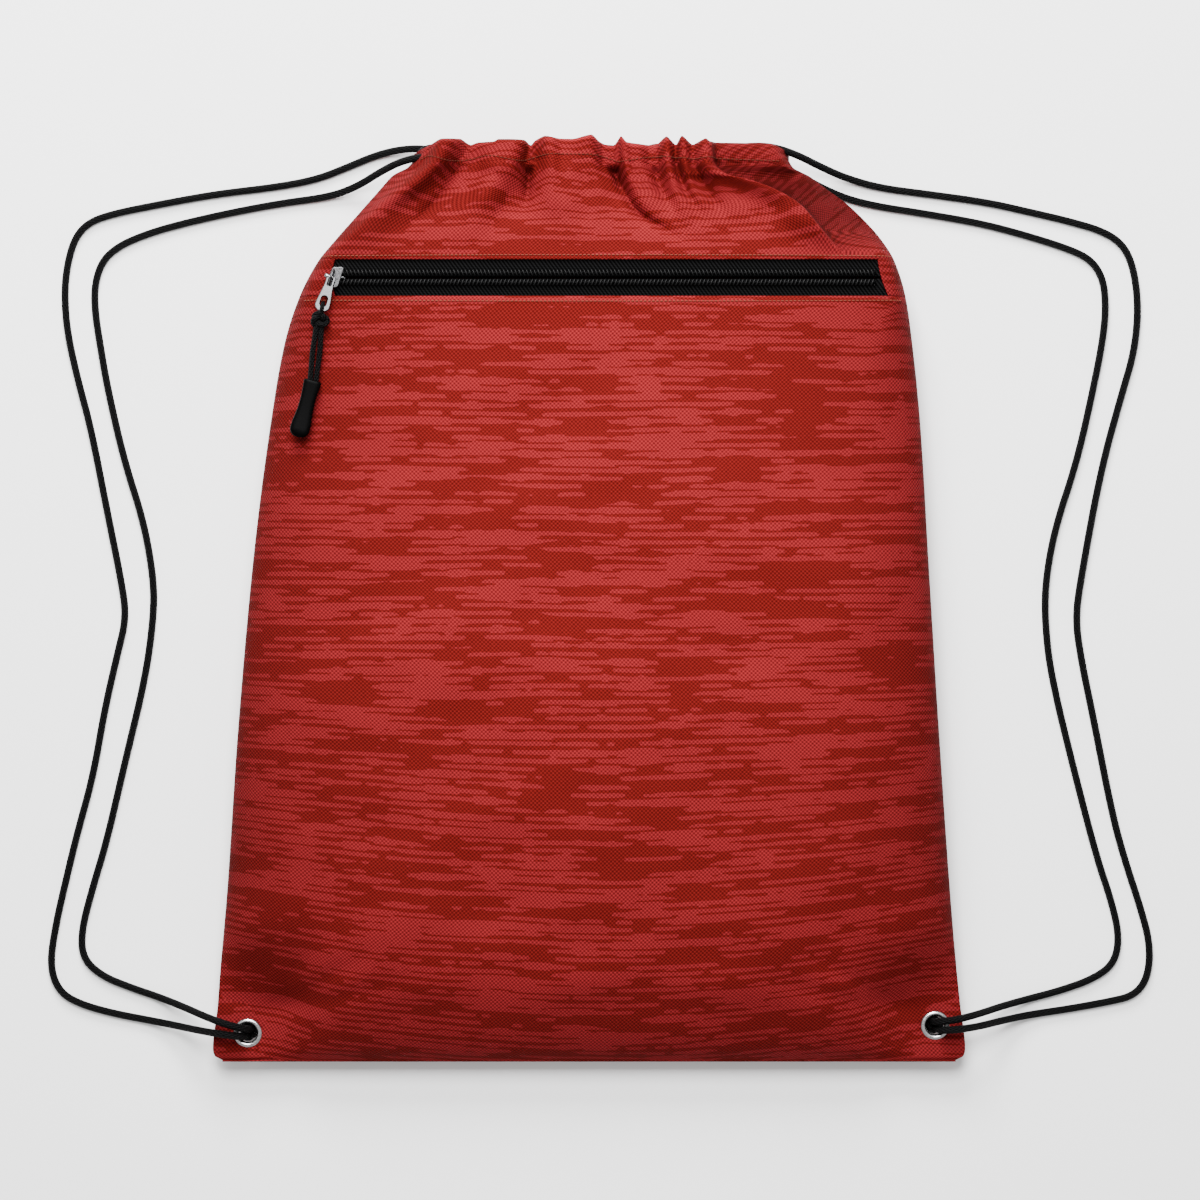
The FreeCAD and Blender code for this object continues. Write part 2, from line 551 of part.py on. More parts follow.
def tab_end_point():
    """Centre of the tab's round end, where the pull cord's loop hangs."""
    return pivot_point() + tab_rotation().multVec(Vector(values["tab_reach"], 0, 0))


def pull_tab():
    """Flat tab with an eye round the bridge and an oval hole in its wider end."""
    body = doc.addObject("PartDesign::Body", "pull_tab")
    sketch = new_sketch(body, "pull_tab_outline", "XY_Plane")
    back, neck, bar = -values["tab_bar"], values["tab_neck"], values["tab_bar"]
    end, reach = values["tab_end"], values["tab_reach"]
    rim = Part.Arc(Vector(reach, -end, 0), Vector(reach + end, 0, 0), Vector(reach, end, 0))
    outline = [Part.LineSegment(Vector(back, -neck, 0), Vector(reach, -end, 0)), rim,
               Part.LineSegment(Vector(reach, end, 0), Vector(back, neck, 0)),
               Part.LineSegment(Vector(back, neck, 0), Vector(back, -neck, 0))]
    eye_half, eye = values["tab_eye_half"], values["tab_eye"]
    opening = polyline([Vector(bar, -eye_half, 0), Vector(eye, -eye_half, 0), Vector(eye, eye_half, 0),
                        Vector(bar, eye_half, 0)])
    hole, start = values["tab_hole"], values["tab_hole_start"]
    oval = [Part.LineSegment(Vector(start, -hole, 0), Vector(reach, -hole, 0)),
            Part.Arc(Vector(reach, -hole, 0), Vector(reach + hole, 0, 0), Vector(reach, hole, 0)),
            Part.LineSegment(Vector(reach, hole, 0), Vector(start, hole, 0)),
            Part.Arc(Vector(start, hole, 0), Vector(start - hole, 0, 0), Vector(start, -hole, 0))]
    for curve in outline + opening + oval:
        sketch.addGeometry(curve)
    join_ends(sketch)
    fix_point(sketch, 0, 1, ("-Sizes.tab_bar", "-Sizes.tab_neck"))
    fix_point(sketch, 1, 1, ("Sizes.tab_reach", "-Sizes.tab_end"))
    fix_point(sketch, 4, 2, ("Sizes.tab_eye", "-Sizes.tab_eye_half"))
    doc.recompute()
    pad = body.newObject("PartDesign::Pad", "pull_tab_pad")
    pad.Profile = sketch
    bind(pad, Length="Sizes.tab_thick")
    pad.Midplane = True
    doc.recompute()
    body.Placement = Placement(pivot_point(), tab_rotation())
    return body


# ---------------------------------------------------------------- pull cord and grip

def level_point(place):
    return Vector(place[0], place[1], tab_end_point().z)


def rod(name, radius, start, end):
    """A plain rod from start to end."""
    solid = doc.addObject("Part::Cylinder", name)
    bind(solid, Radius=radius)
    solid.Height = (end - start).Length
    solid.Placement = Placement(start, Rotation(Vector(0, 0, 1), end - start))
    return solid


def pull_cord():
    """The cord's loop through the tab's hole and its two strands down to the grip."""
    hook = tab_end_point()
    knot = level_point(PULL_KNOT)
    grip = level_point(GRIP_START)
    towards = (knot - hook).normalize()
    loop = doc.addObject("Part::Torus", "pull_loop")
    bind(loop, Radius1="Sizes.loop_radius", Radius2="Sizes.loop_wire")
    loop.Placement = Placement(hook + towards * values["loop_radius"],
                               frame_rotation(towards, Vector(0, 0, 1)))
    heading = (grip - knot).normalize()
    aside = Vector(0, 0, 1).cross(heading) * STRAND_SPACING
    strands = []
    for side, offset in (("one", aside), ("two", aside * -1)):
        strands.append(rod("pull_strand_" + side, "Sizes.pull_cord_radius", knot + offset,
                           grip + offset + heading * STRAND_ENTRY))
    core = doc.addObject("Part::Sphere", "pull_core")
    core.Radius = CORE_RADIUS
    core.Placement = Placement(knot, Rotation())
    stem = rod("pull_stem", "Sizes.loop_wire * %r" % STEM_SHARE,
               hook + towards * STEM_START * values["loop_radius"], knot)
    return fuse("pull_cord", [loop, stem, core] + strands)


def pull_knot():
    solid = doc.addObject("Part::Sphere", "pull_knot")
    bind(solid, Radius="Sizes.pull_knot_radius")
    solid.Placement = Placement(level_point(PULL_KNOT), Rotation())
    return solid


def pull_grip():
    """Moulded grip: a waisted tongue with a round end."""
    body = doc.addObject("PartDesign::Body", "pull_grip")
    sketch = new_sketch(body, "pull_grip_outline", "XY_Plane")
    start, end = level_point(GRIP_START), level_point(GRIP_END)
    length = (end - start).Length
    mouth, waist, tip = GRIP_HALF_WIDTHS
    straight = length - tip
    middle = length * GRIP_WAIST
    curves = [
        Part.LineSegment(Vector(0, -mouth, 0), Vector(middle, -waist, 0)),
        Part.LineSegment(Vector(middle, -waist, 0), Vector(straight, -tip, 0)),
        Part.Arc(Vector(straight, -tip, 0), Vector(length, 0, 0), Vector(straight, tip, 0)),
        Part.LineSegment(Vector(straight, tip, 0), Vector(middle, waist, 0)),
        Part.LineSegment(Vector(middle, waist, 0), Vector(0, mouth, 0)),
        Part.LineSegment(Vector(0, mouth, 0), Vector(0, -mouth, 0)),
    ]
    for curve in curves:
        sketch.addGeometry(curve)
    join_ends(sketch)
    doc.recompute()
    pad = body.newObject("PartDesign::Pad", "pull_grip_pad")
    pad.Profile = sketch
    bind(pad, Length="Sizes.grip_thick")
    pad.Midplane = True
    doc.recompute()
    chamfer = body.newObject("PartDesign::Chamfer", "pull_grip_edges")
    faces = ["Face%d" % number for number, face in enumerate(pad.Shape.Faces, start=1)
             if abs(face.normalAt(0, 0).z) > 0.9]
    chamfer.Base = (pad, faces)
    bind(chamfer, Size="Sizes.grip_edge")
    doc.recompute()
    across = Vector(0, 0, 1).cross(end - start)
    body.Placement = Placement(start, frame_rotation((end - start).normalize(), across.normalize()))
    return body


# ---------------------------------------------------------------- corners

def corner_parts(side):
    """An eyelet's flanged barrel, its washer and the knot below it."""
    across = "Sizes.%s_eyelet_across" % side
    along = "Sizes.%s_eyelet_along" % side
    top = "Sizes.corner_seam + Sizes.cloth"
    foot = "Sizes.corner_seam - Sizes.cloth - Sizes.washer_thick"
    flange = cylinder("flange_" + side, "Sizes.eyelet_outer", "Sizes.eyelet_flange", across, along, top)
    flange_middle = values["corner_seam"] + values["cloth"] + values["eyelet_flange"] / 2
    domed = round_edges("flange_round_" + side, flange, values["eyelet_round"],
                        lambda edge: edge.BoundBox.ZMin > flange_middle and len(edge.Vertexes) == 1)
    barrel = cylinder("barrel_" + side, "Sizes.eyelet_barrel", top + " - (" + foot + ")",
                      across, along, foot)
    cutter_height = top + " - (" + foot + ") + Sizes.eyelet_flange + 2 * Sizes.bore_overrun"
    cutter_foot = foot + " - Sizes.bore_overrun"
    bore = cylinder("bore_" + side, "Sizes.eyelet_hole", cutter_height, across, along, cutter_foot)
    eyelet = cut("eyelet_" + side, fuse("eyelet_solid_" + side, [domed, barrel]), bore)
    disc = cylinder("disc_" + side, "Sizes.eyelet_outer", "Sizes.washer_thick", across, along, foot)
    middle = cylinder("disc_hole_" + side, "Sizes.eyelet_barrel", cutter_height, across, along, cutter_foot)
    washer = cut("washer_" + side, disc, middle)
    knot = doc.addObject("Part::Sphere", "cord_knot_" + side)
    bind(knot, Radius="Sizes.end_knot_radius", Placement__Base__x=across, Placement__Base__y=along,
         Placement__Base__z="Sizes.end_knot_height")
    return {"eyelet_" + side: eyelet, "washer_" + side: washer, "cord_knot_" + side: knot}


def cord_path(points):
    """Straight runs joined by tangent arcs, each as large as its two runs allow; also its radii."""
    points = [Vector(*point) for point in points]
    edges = []
    radii = []
    last = points[0]
    for before, corner, after in zip(points, points[1:], points[2:]):
        incoming = (corner - before).normalize()
        outgoing = (after - corner).normalize()
        turn = incoming.getAngle(outgoing)
        shorter = min((corner - before).Length, (after - corner).Length)
        reach = 0.45 * shorter
        radius = reach / math.tan(turn / 2)
        radii.append(radius)
        start = corner - incoming * reach
        end = corner + outgoing * reach
        bisector = (outgoing - incoming).normalize()
        middle = corner + bisector * (radius / math.cos(turn / 2) - radius)
        edges.append(Part.LineSegment(last, start).toShape())
        edges.append(Part.Arc(start, middle, end).toShape())
        last = end
    edges.append(Part.LineSegment(last, points[-1]).toShape())
    return Part.Wire(edges), radii


def drawcord(name, points):
    """A cord's tube swept along its route."""
    path, radii = cord_path(points)
    first = path.Edges[0]
    direction = first.tangentAt(first.FirstParameter)
    circle = Part.Circle(Vector(*points[0]), direction, values["cord_radius"])
    tube = path.makePipeShell([Part.Wire([circle.toShape()])], True, False)
    solid = doc.addObject("Part::Feature", name)
    solid.Shape = tube
    section = math.pi * values["cord_radius"] ** 2
    expected = section * path.Length
    print("%s length %.0f, smallest radii %s, volume ratio %.4f" % (
        name, path.Length, [round(radius, 1) for radius in sorted(radii)[:6]], tube.Volume / expected))
    return solid


# ---------------------------------------------------------------- document

store_sizes()
parts = {
    "front_panel": fabric_wall("front_panel", FRONT_STATIONS, "front"),
    "front_yoke": fabric_wall("front_yoke", YOKE_STATIONS, "front"),
    "back_panel": fabric_wall("back_panel", tuple(STATIONS), "back"),
    "front_casing": casing("front_casing", "front_lane"),
    "back_casing": casing("back_casing", "back_lane"),
    "pocket_lining": pocket_lining(),
    "zip_tab_left": end_tab("left"),
    "zip_tab_right": end_tab("right"),
    "slider": slider(),
    "pull_tab": pull_tab(),
    "pull_cord": pull_cord(),
    "pull_knot": pull_knot(),
    "pull_grip": pull_grip(),
    "drawcord_left": drawcord("drawcord_left", LEFT_ROUTE),
    "drawcord_right": drawcord("drawcord_right", RIGHT_ROUTE),
}
punch_eyelets(parts["front_panel"])
punch_eyelets(parts["back_panel"])
trim_flat(parts["back_panel"])
parts.update(zip_rows())
for corner_side in ("left", "right"):
    parts.update(corner_parts(corner_side))
doc.recompute()

for item in doc.Objects:
    if "Invalid" in item.State or "Error" in item.State:
        raise RuntimeError("failed feature: " + item.Name)

os.makedirs("parts", exist_ok=True)
for node, item in parts.items():
    item.Label = node
    if item.Shape.isNull() or not item.Shape.isValid() or len(item.Shape.Solids) != 1:
        raise RuntimeError("bad shape: " + node)
    item.Shape.exportStep("parts/%s.step" % node)
    low, high = item.Shape.BoundBox.ZMin, item.Shape.BoundBox.ZMax
    print("%-16s volume %9.1f  z %6.2f to %6.2f" % (node, item.Shape.Volume, low, high))
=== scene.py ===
import json
import math

import bpy
import numpy as np
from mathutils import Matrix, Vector


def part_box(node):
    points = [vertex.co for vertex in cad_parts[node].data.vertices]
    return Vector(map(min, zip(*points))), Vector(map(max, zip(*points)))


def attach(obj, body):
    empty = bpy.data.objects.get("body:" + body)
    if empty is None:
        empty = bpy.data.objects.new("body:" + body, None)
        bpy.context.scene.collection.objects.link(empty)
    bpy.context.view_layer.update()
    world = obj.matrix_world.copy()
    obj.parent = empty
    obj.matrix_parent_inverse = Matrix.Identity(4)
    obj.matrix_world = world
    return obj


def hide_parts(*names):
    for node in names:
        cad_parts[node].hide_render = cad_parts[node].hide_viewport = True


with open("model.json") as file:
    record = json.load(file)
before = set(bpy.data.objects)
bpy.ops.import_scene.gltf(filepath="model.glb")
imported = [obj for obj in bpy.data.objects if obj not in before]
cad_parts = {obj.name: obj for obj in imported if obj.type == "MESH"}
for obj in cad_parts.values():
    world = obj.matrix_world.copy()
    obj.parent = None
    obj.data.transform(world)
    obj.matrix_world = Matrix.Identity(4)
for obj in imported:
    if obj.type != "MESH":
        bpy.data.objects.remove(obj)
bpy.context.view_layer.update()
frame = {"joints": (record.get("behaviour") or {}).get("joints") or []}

MM = 0.001
TURN = 2 * math.pi
UP = np.array([0, 0, 1.0])


# ---- places read from the frame

def corners(node):
    """Lowest and highest corners of a CAD node's box, in millimetres."""
    return np.array(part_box(node)) / MM


def middle(node):
    """The middle of a CAD node's box."""
    return corners(node).sum(0) / 2


HEM_Y, LIP_Y = corners("front_panel")[:, 1]
BROW_Y = corners("front_yoke")[0, 1]
(_, CASING_Y, CASING_Z), (_, TOP_Y, _) = corners("front_casing")
BACK_CASING_Z = corners("back_casing")[0, 2]
(ZIP_LEFT, _, _), (ZIP_RIGHT, TAPE_Y, TAPE_TOP) = corners("zip_tape_upper")
ZIP_Y = (corners("zip_tape_lower")[0, 1] + TAPE_Y) / 2
JOINTS = {joint["name"]: joint for joint in frame["joints"]}
PIVOT = np.array(JOINTS["tab_lift"]["pos_m"]) / MM
SWING = np.array(JOINTS["cord_swing"]["pos_m"]) / MM
EYELETS = {side: middle("eyelet_" + side) for side in ("left", "right")}
HOLES = [tuple(centre[:2]) for centre in EYELETS.values()]
HOLE_RADIUS = 5.7        # of the holes punched for the eyelets, hidden under their rims

# Cross-sections of the bag, millimetres: y, left edge, right edge, flap, shoulder, seam z, front z, back z.
SECTIONS = np.array([
    (-218.5, -174, 174, 26, 34, 12.6, 14, 10.6),
    (-217.6, -176.4, 176.4, 26, 35, 12.7, 15.2, 9.8),
    (-216, -178, 178, 26, 36, 12.8, 17.3, 8.4),
    (-213, -178.5, 178.5, 26, 38, 13, 20.5, 6),
    (-194, -176.4, 176.4, 22, 44, 13, 30.5, 1.5),
    (-178, -175.2, 174.7, 14, 48, 13.4, 36, 0),
    (-140, -171.7, 171.3, 3, 50, 16, 41, 0),
    (-60, -166, 165.5, 1, 48, 20, 44, 0),
    (20, -158.8, 160.6, 1, 42, 20, 43, 0),
    (85, -150.5, 156.7, 1, 34, 19, 39.2, 0),
    (122, -144, 153, 1, 20, 18.3, 38.2, 0),
    (142.7, -137.3, 150, 1, 9, 18, 38, 0),
    (159.9, -128.3, 144.7, 1, 7, 18, 38, 0),
    (170, -120.2, 138.7, 1, 9, 17.6, 37.2, 0),
    (184, -108, 126, 1, 12, 17, 34.5, 0),
    (205.3, -89.8, 100.2, 1, 14, 15, 31.6, 4.5),
    (222, -76.6, 90, 1, 14, 15, 31.6, 5),
])


# ---- small mathematics

def smooth(values, places, wanted):
    """Monotone cubic through (places, values) at wanted."""
    x, y = np.asarray(places, float), np.asarray(values, float)
    h = np.diff(x)
    slope = np.diff(y) / h
    tangent = np.zeros_like(y)
    same = slope[:-1] * slope[1:] > 0
    w1, w2 = 2 * h[1:] + h[:-1], h[1:] + 2 * h[:-1]
    with np.errstate(divide="ignore", invalid="ignore"):
        mean = (w1 + w2) / (w1 / slope[:-1] + w2 / slope[1:])
    tangent[1:-1] = np.where(same, mean, 0)
    tangent[0], tangent[-1] = slope[0], slope[-1]
    t = np.clip(np.asarray(wanted, float), x[0], x[-1])
    i = np.clip(np.searchsorted(x, t) - 1, 0, len(h) - 1)
    s = (t - x[i]) / h[i]
    return ((2 * s ** 3 - 3 * s ** 2 + 1) * y[i] + (s ** 3 - 2 * s ** 2 + s) * h[i] * tangent[i]
            + (3 * s ** 2 - 2 * s ** 3) * y[i + 1] + (s ** 3 - s ** 2) * h[i] * tangent[i + 1])


def follow(path, where):
    """A smooth line through a path's (place, value) pairs, read at where."""
    places, values = np.array(path, float).T
    return smooth(values, places, where)


def step(low, high, value):
    """Smoothstep from 0 at low to 1 at high."""
    t = np.clip((value - low) / (high - low), 0, 1)
    return t * t * (3 - 2 * t)


WAVES = 14               # plane waves in each sum of them


def waves(x, y, seed, size):
    """Smooth wandering noise of about -1 to 1: a sum of plane waves of roughly the given wavelength."""
    random = np.random.default_rng(seed)
    total = np.zeros(np.broadcast(x, y).shape)
    for _ in range(WAVES):
        angle = random.uniform(0, math.pi)
        number = TURN / (size * random.uniform(0.7, 1.6))
        total = total + np.sin(number * (x * math.cos(angle) + y * math.sin(angle)) + random.uniform(0, 6.3))
    return total / math.sqrt(WAVES)


EDGE_STEPS, FLAT_STEPS = 30, 130
CORNER_Y = (-150, -197)  # the edges turn from round to a soft slope between these rows
CORNER_FLAT = 0.62       # share of the corner's flap that lies flat
BACK_SHOULDER = 22       # least width over which the back wall turns up to the seam


def across(y, face, flat_steps=FLAT_STEPS):
    """x and z of every column of the front or back wall at each y, as arrays of rows by columns."""
    y = np.atleast_1d(y)
    left, right, flap, turn, seam, front, back = [
        smooth(column, SECTIONS[:, 0], y)[:, None] for column in SECTIONS.T[1:]]
    top = front
    if face == "back":
        top, turn = back, np.maximum(turn, BACK_SHOULDER)
    corner_share = step(*CORNER_Y, y)[:, None]
    reach = np.maximum(flap - 1, 0) + turn
    t = 1 - np.cos(np.linspace(0, math.pi / 2, EDGE_STEPS, endpoint=False))[None, :]
    round_edge = np.sqrt(1 - (1 - t) ** 2)
    flat_share = CORNER_FLAT * np.maximum(flap - 1, 0) / reach
    slope = step(0, 1, (t - flat_share) / (1 - flat_share))
    rise = round_edge * (1 - corner_share) + slope * corner_share
    side_z = seam + (top - seam) * rise
    f = np.linspace(0, 1, flat_steps)[None, :]
    middle_x = left + reach + (right - left - 2 * reach) * f
    return (np.concatenate([left + reach * t, middle_x, (right - reach * t)[:, ::-1]], 1),
            np.concatenate([side_z, top + 0 * f, side_z[:, ::-1]], 1))


def unrolled(points):
    """Flat-cut coordinates of a grid: the length run along its rows and columns, from their middles."""
    flat = []
    for axis in (1, 0):
        steps = np.sqrt((np.diff(points, axis=axis) ** 2).sum(-1))
        run = np.concatenate([np.zeros_like(np.take(steps, [0], axis)), np.cumsum(steps, axis)], axis)
        flat.append(run - np.take(run, [run.shape[axis] // 2], axis))
    return np.stack(flat, -1)


def run_along(line):
    """Length run along a line at each of its points."""
    return np.concatenate([[0], np.cumsum(np.linalg.norm(np.diff(line, axis=0), axis=1))])


def resample(line, spacing):
    """The same line with points evenly spaced."""
    run = run_along(line)
    keep = np.concatenate([[True], np.diff(run) > 1e-9])
    run, line = run[keep], line[keep]
    wanted = np.linspace(0, run[-1], max(3, int(round(run[-1] / spacing)) + 1))
    return np.stack([np.interp(wanted, run, line[:, k]) for k in range(3)], 1)


def unit(vector):
    return vector / np.linalg.norm(vector)


def circle(count):
    """Angles of points evenly spaced round a circle."""
    return np.linspace(0, TURN, count, endpoint=False)


def from_edges(x, near, far):
    """From 0 within near millimetres of a grid's side edges to 1 beyond far."""
    return step(near, far, x - x[:, :1]) * step(near, far, x[:, -1:] - x)


# ---- meshes

def linked(name, data):
    """A new object in the scene."""
    item = bpy.data.objects.new(name, data)
    bpy.context.collection.objects.link(item)
    return item


def placed(name, node, mesh, look, body, sharp=None):
    """A piece that rides on a body, takes its material from MATERIALS by look and hides the CAD node it stands
    for, if any.

    It is shaded smooth, apart from edges sharper than sharp degrees.
    """
    mesh.shade_smooth()
    if sharp:
        mesh.set_sharp_from_angle(angle=math.radians(sharp))
    mesh.materials.append(MATERIALS[look])
    piece = linked(name, mesh)
    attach(piece, body)
    if node:
        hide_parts(node)
    return piece


def mesh_piece(name, node, verts, faces, look, body="bag", uv=None, sharp=None):
    """A piece from millimetre points; uv holds one pair of metres for each vertex."""
    mesh = bpy.data.meshes.new(name)
    mesh.from_pydata((np.asarray(verts) * MM).tolist(), [], [list(map(int, face)) for face in faces])
    if uv is not None:
        layer = mesh.uv_layers.new(name="flat")
        index = np.empty(len(mesh.loops), dtype=np.int32)
        mesh.loops.foreach_get("vertex_index", index)
        layer.data.foreach_set("uv", np.asarray(uv, dtype=np.float32)[index].ravel())
    mesh.validate()
    mesh.update()
    return placed(name, node, mesh, look, body, sharp)


def grid_faces(rows, columns, wrap=False, close=False):
    """Faces of a grid; wrap joins its last column to the first, and close its last row."""
    faces = []
    for r in range(rows if close else rows - 1):
        here, there = r * columns, (r + 1) % rows * columns
        for c in range(columns if wrap else columns - 1):
            d = (c + 1) % columns
            faces.append((here + c, here + d, there + d, there + c))
    return faces


def caps(rows, sides):
    """The two end faces of a grid of rings."""
    return [tuple(range(sides))[::-1], tuple(range((rows - 1) * sides, rows * sides))]


def cloth(name, node, points, flat, look="red", thickness=0.7, shade=None, holes=()):
    """A cloth piece from a rows x columns grid of points, with its flat-cut coordinates as UV.

    shade, from 0 to 1 at each point, is painted shade: how much darker the cloth is drawn there, as where shade
    falls in a crease.
    holes are (x, y) centres of punched holes, HOLE_RADIUS wide.
    """
    verts = points.reshape(-1, 3)
    faces = np.array(grid_faces(*points.shape[:2]))
    middles = verts[faces].mean(1)
    for x, y in holes:
        keep = np.hypot(middles[:, 0] - x, middles[:, 1] - y) > HOLE_RADIUS
        faces, middles = faces[keep], middles[keep]
    piece = mesh_piece(name, node, verts, faces, look, uv=flat.reshape(-1, 2) * MM)
    if shade is not None:
        layer = piece.data.attributes.new("shade", "FLOAT", "POINT")
        layer.data.foreach_set("value", np.asarray(shade, dtype=np.float32).ravel())
    solid = piece.modifiers.new("cloth", "SOLIDIFY")
    solid.thickness = thickness * MM
    solid.offset = -1
    return piece


def normals_along(path, closed):
    """Two unit normals carried along a path without twist."""
    tangent = np.roll(path, -1, 0) - np.roll(path, 1, 0) if closed else np.gradient(path, axis=0)
    tangent /= np.linalg.norm(tangent, axis=1)[:, None]
    normal = np.zeros_like(path)
    first = np.cross(tangent[0], UP)
    if np.linalg.norm(first) < 1e-3:
        first = np.cross(tangent[0], (1.0, 0.0, 0.0))
    normal[0] = unit(first)
    for i in range(1, len(path)):
        normal[i] = unit(normal[i - 1] - tangent[i] * np.dot(normal[i - 1], tangent[i]))
    return normal, np.cross(tangent, normal)


def tube(name, node, path, radius, look, sides, body="bag", closed=False, sharp=None):
    """A round tube along a millimetre path, with capped ends and UV in metres (round, along)."""
    path = np.asarray(path, float)
    count = len(path)
    normal, other = normals_along(path, closed)
    radii = np.broadcast_to(np.asarray(radius, float), (count,))
    turn = circle(sides)
    ring = normal[:, None] * np.cos(turn)[:, None] + other[:, None] * np.sin(turn)[:, None]
    verts = (path[:, None] + ring * radii[:, None, None]).reshape(-1, 3)
    uv = np.stack([np.tile(turn, count) * radii.mean(), np.repeat(run_along(path), sides)], -1)
    faces = grid_faces(count, sides, wrap=True, close=closed) + ([] if closed else caps(count, sides))
    return mesh_piece(name, node, verts, faces, look, body, uv * MM, sharp)


def new_curve(name, dimensions, kind, lines):
    """A curve with one spline through each line of points."""
    curve = bpy.data.curves.new(name, "CURVE")
    curve.dimensions = dimensions
    for line in lines:
        spline = curve.splines.new(kind)
        spline.points.add(len(line) - 1)
        for point, place in zip(spline.points, line):
            point.co = (*place, 1.0)
    return curve


def curve_mesh(curve):
    """The mesh that a curve makes. The curve is removed."""
    item = linked(curve.name, curve)
    bpy.context.view_layer.update()
    mesh = bpy.data.meshes.new_from_object(item.evaluated_get(bpy.context.evaluated_depsgraph_get()))
    bpy.data.objects.remove(item)
    bpy.data.curves.remove(curve)
    return mesh


def nurbs_points(points):
    """Points in metres along the NURBS spline that has these control points."""
    curve = new_curve("route", "3D", "NURBS", [points])
    curve.resolution_u = 24
    curve.splines[0].order_u = 3
    curve.splines[0].use_endpoint_u = True
    mesh = curve_mesh(curve)
    line = np.array([vertex.co[:] for vertex in mesh.vertices])
    bpy.data.meshes.remove(mesh)
    return line


def stitches(name, line, look):
    """A row of topstitches along a millimetre line, each a small rounded dash."""
    pitch, length, radius, lift, sides = 1.95, 1.55, 0.25, 0.13, 6
    rings = [(-0.5, 0.25), (-0.38, 0.85), (0.0, 1.0), (0.38, 0.85), (0.5, 0.25)]     # place, width
    line = resample(line, pitch)
    one = [(a, d, c, b) for a, b, c, d in grid_faces(len(rings), sides, wrap=True)]
    one += [face[::-1] for face in caps(len(rings), sides)]
    verts, faces = [], []
    for start, end in zip(line, line[1:]):
        along = unit(end - start)
        aside = unit(np.cross(along, UP))
        up = np.cross(aside, along)
        faces += [tuple(len(verts) + k for k in face) for face in one]
        for place, size in rings:
            sag = lift - 0.5 * abs(place) * radius
            for angle in circle(sides):
                verts.append((start + end) / 2 + along * place * length
                             + aside * math.cos(angle) * radius * size
                             + up * (math.sin(angle) * radius * size + sag))
    mesh_piece(name, None, verts, faces, look)


def surface_line(points, places, lift=0.1):
    """Points on a grid surface where its y passes through the given (x, y) places."""
    line = []
    for column in range(points.shape[1]):
        strip = points[:, column]
        target = follow(places, strip[:, 0])
        row = int(np.argmin(np.abs(strip[:, 1] - target)))
        if places[0][0] < strip[row, 0] < places[-1][0]:
            line.append(strip[row] + (0, np.clip(target[row] - strip[row, 1], -0.6, 0.6), lift))
    return np.array(line)


# ---- materials

class Value:
    """A node's output that takes +, - and *, each of which adds a maths node."""

    def __init__(self, nodes, socket):
        self.nodes, self.socket = nodes, socket

    def __add__(self, other):
        return self.nodes.math("ADD", self, other)

    def __sub__(self, other):
        return self.nodes.math("SUBTRACT", self, other)

    def __rsub__(self, other):
        return self.nodes.math("SUBTRACT", other, self)

    def __mul__(self, other):
        return self.nodes.math("MULTIPLY", self, other)


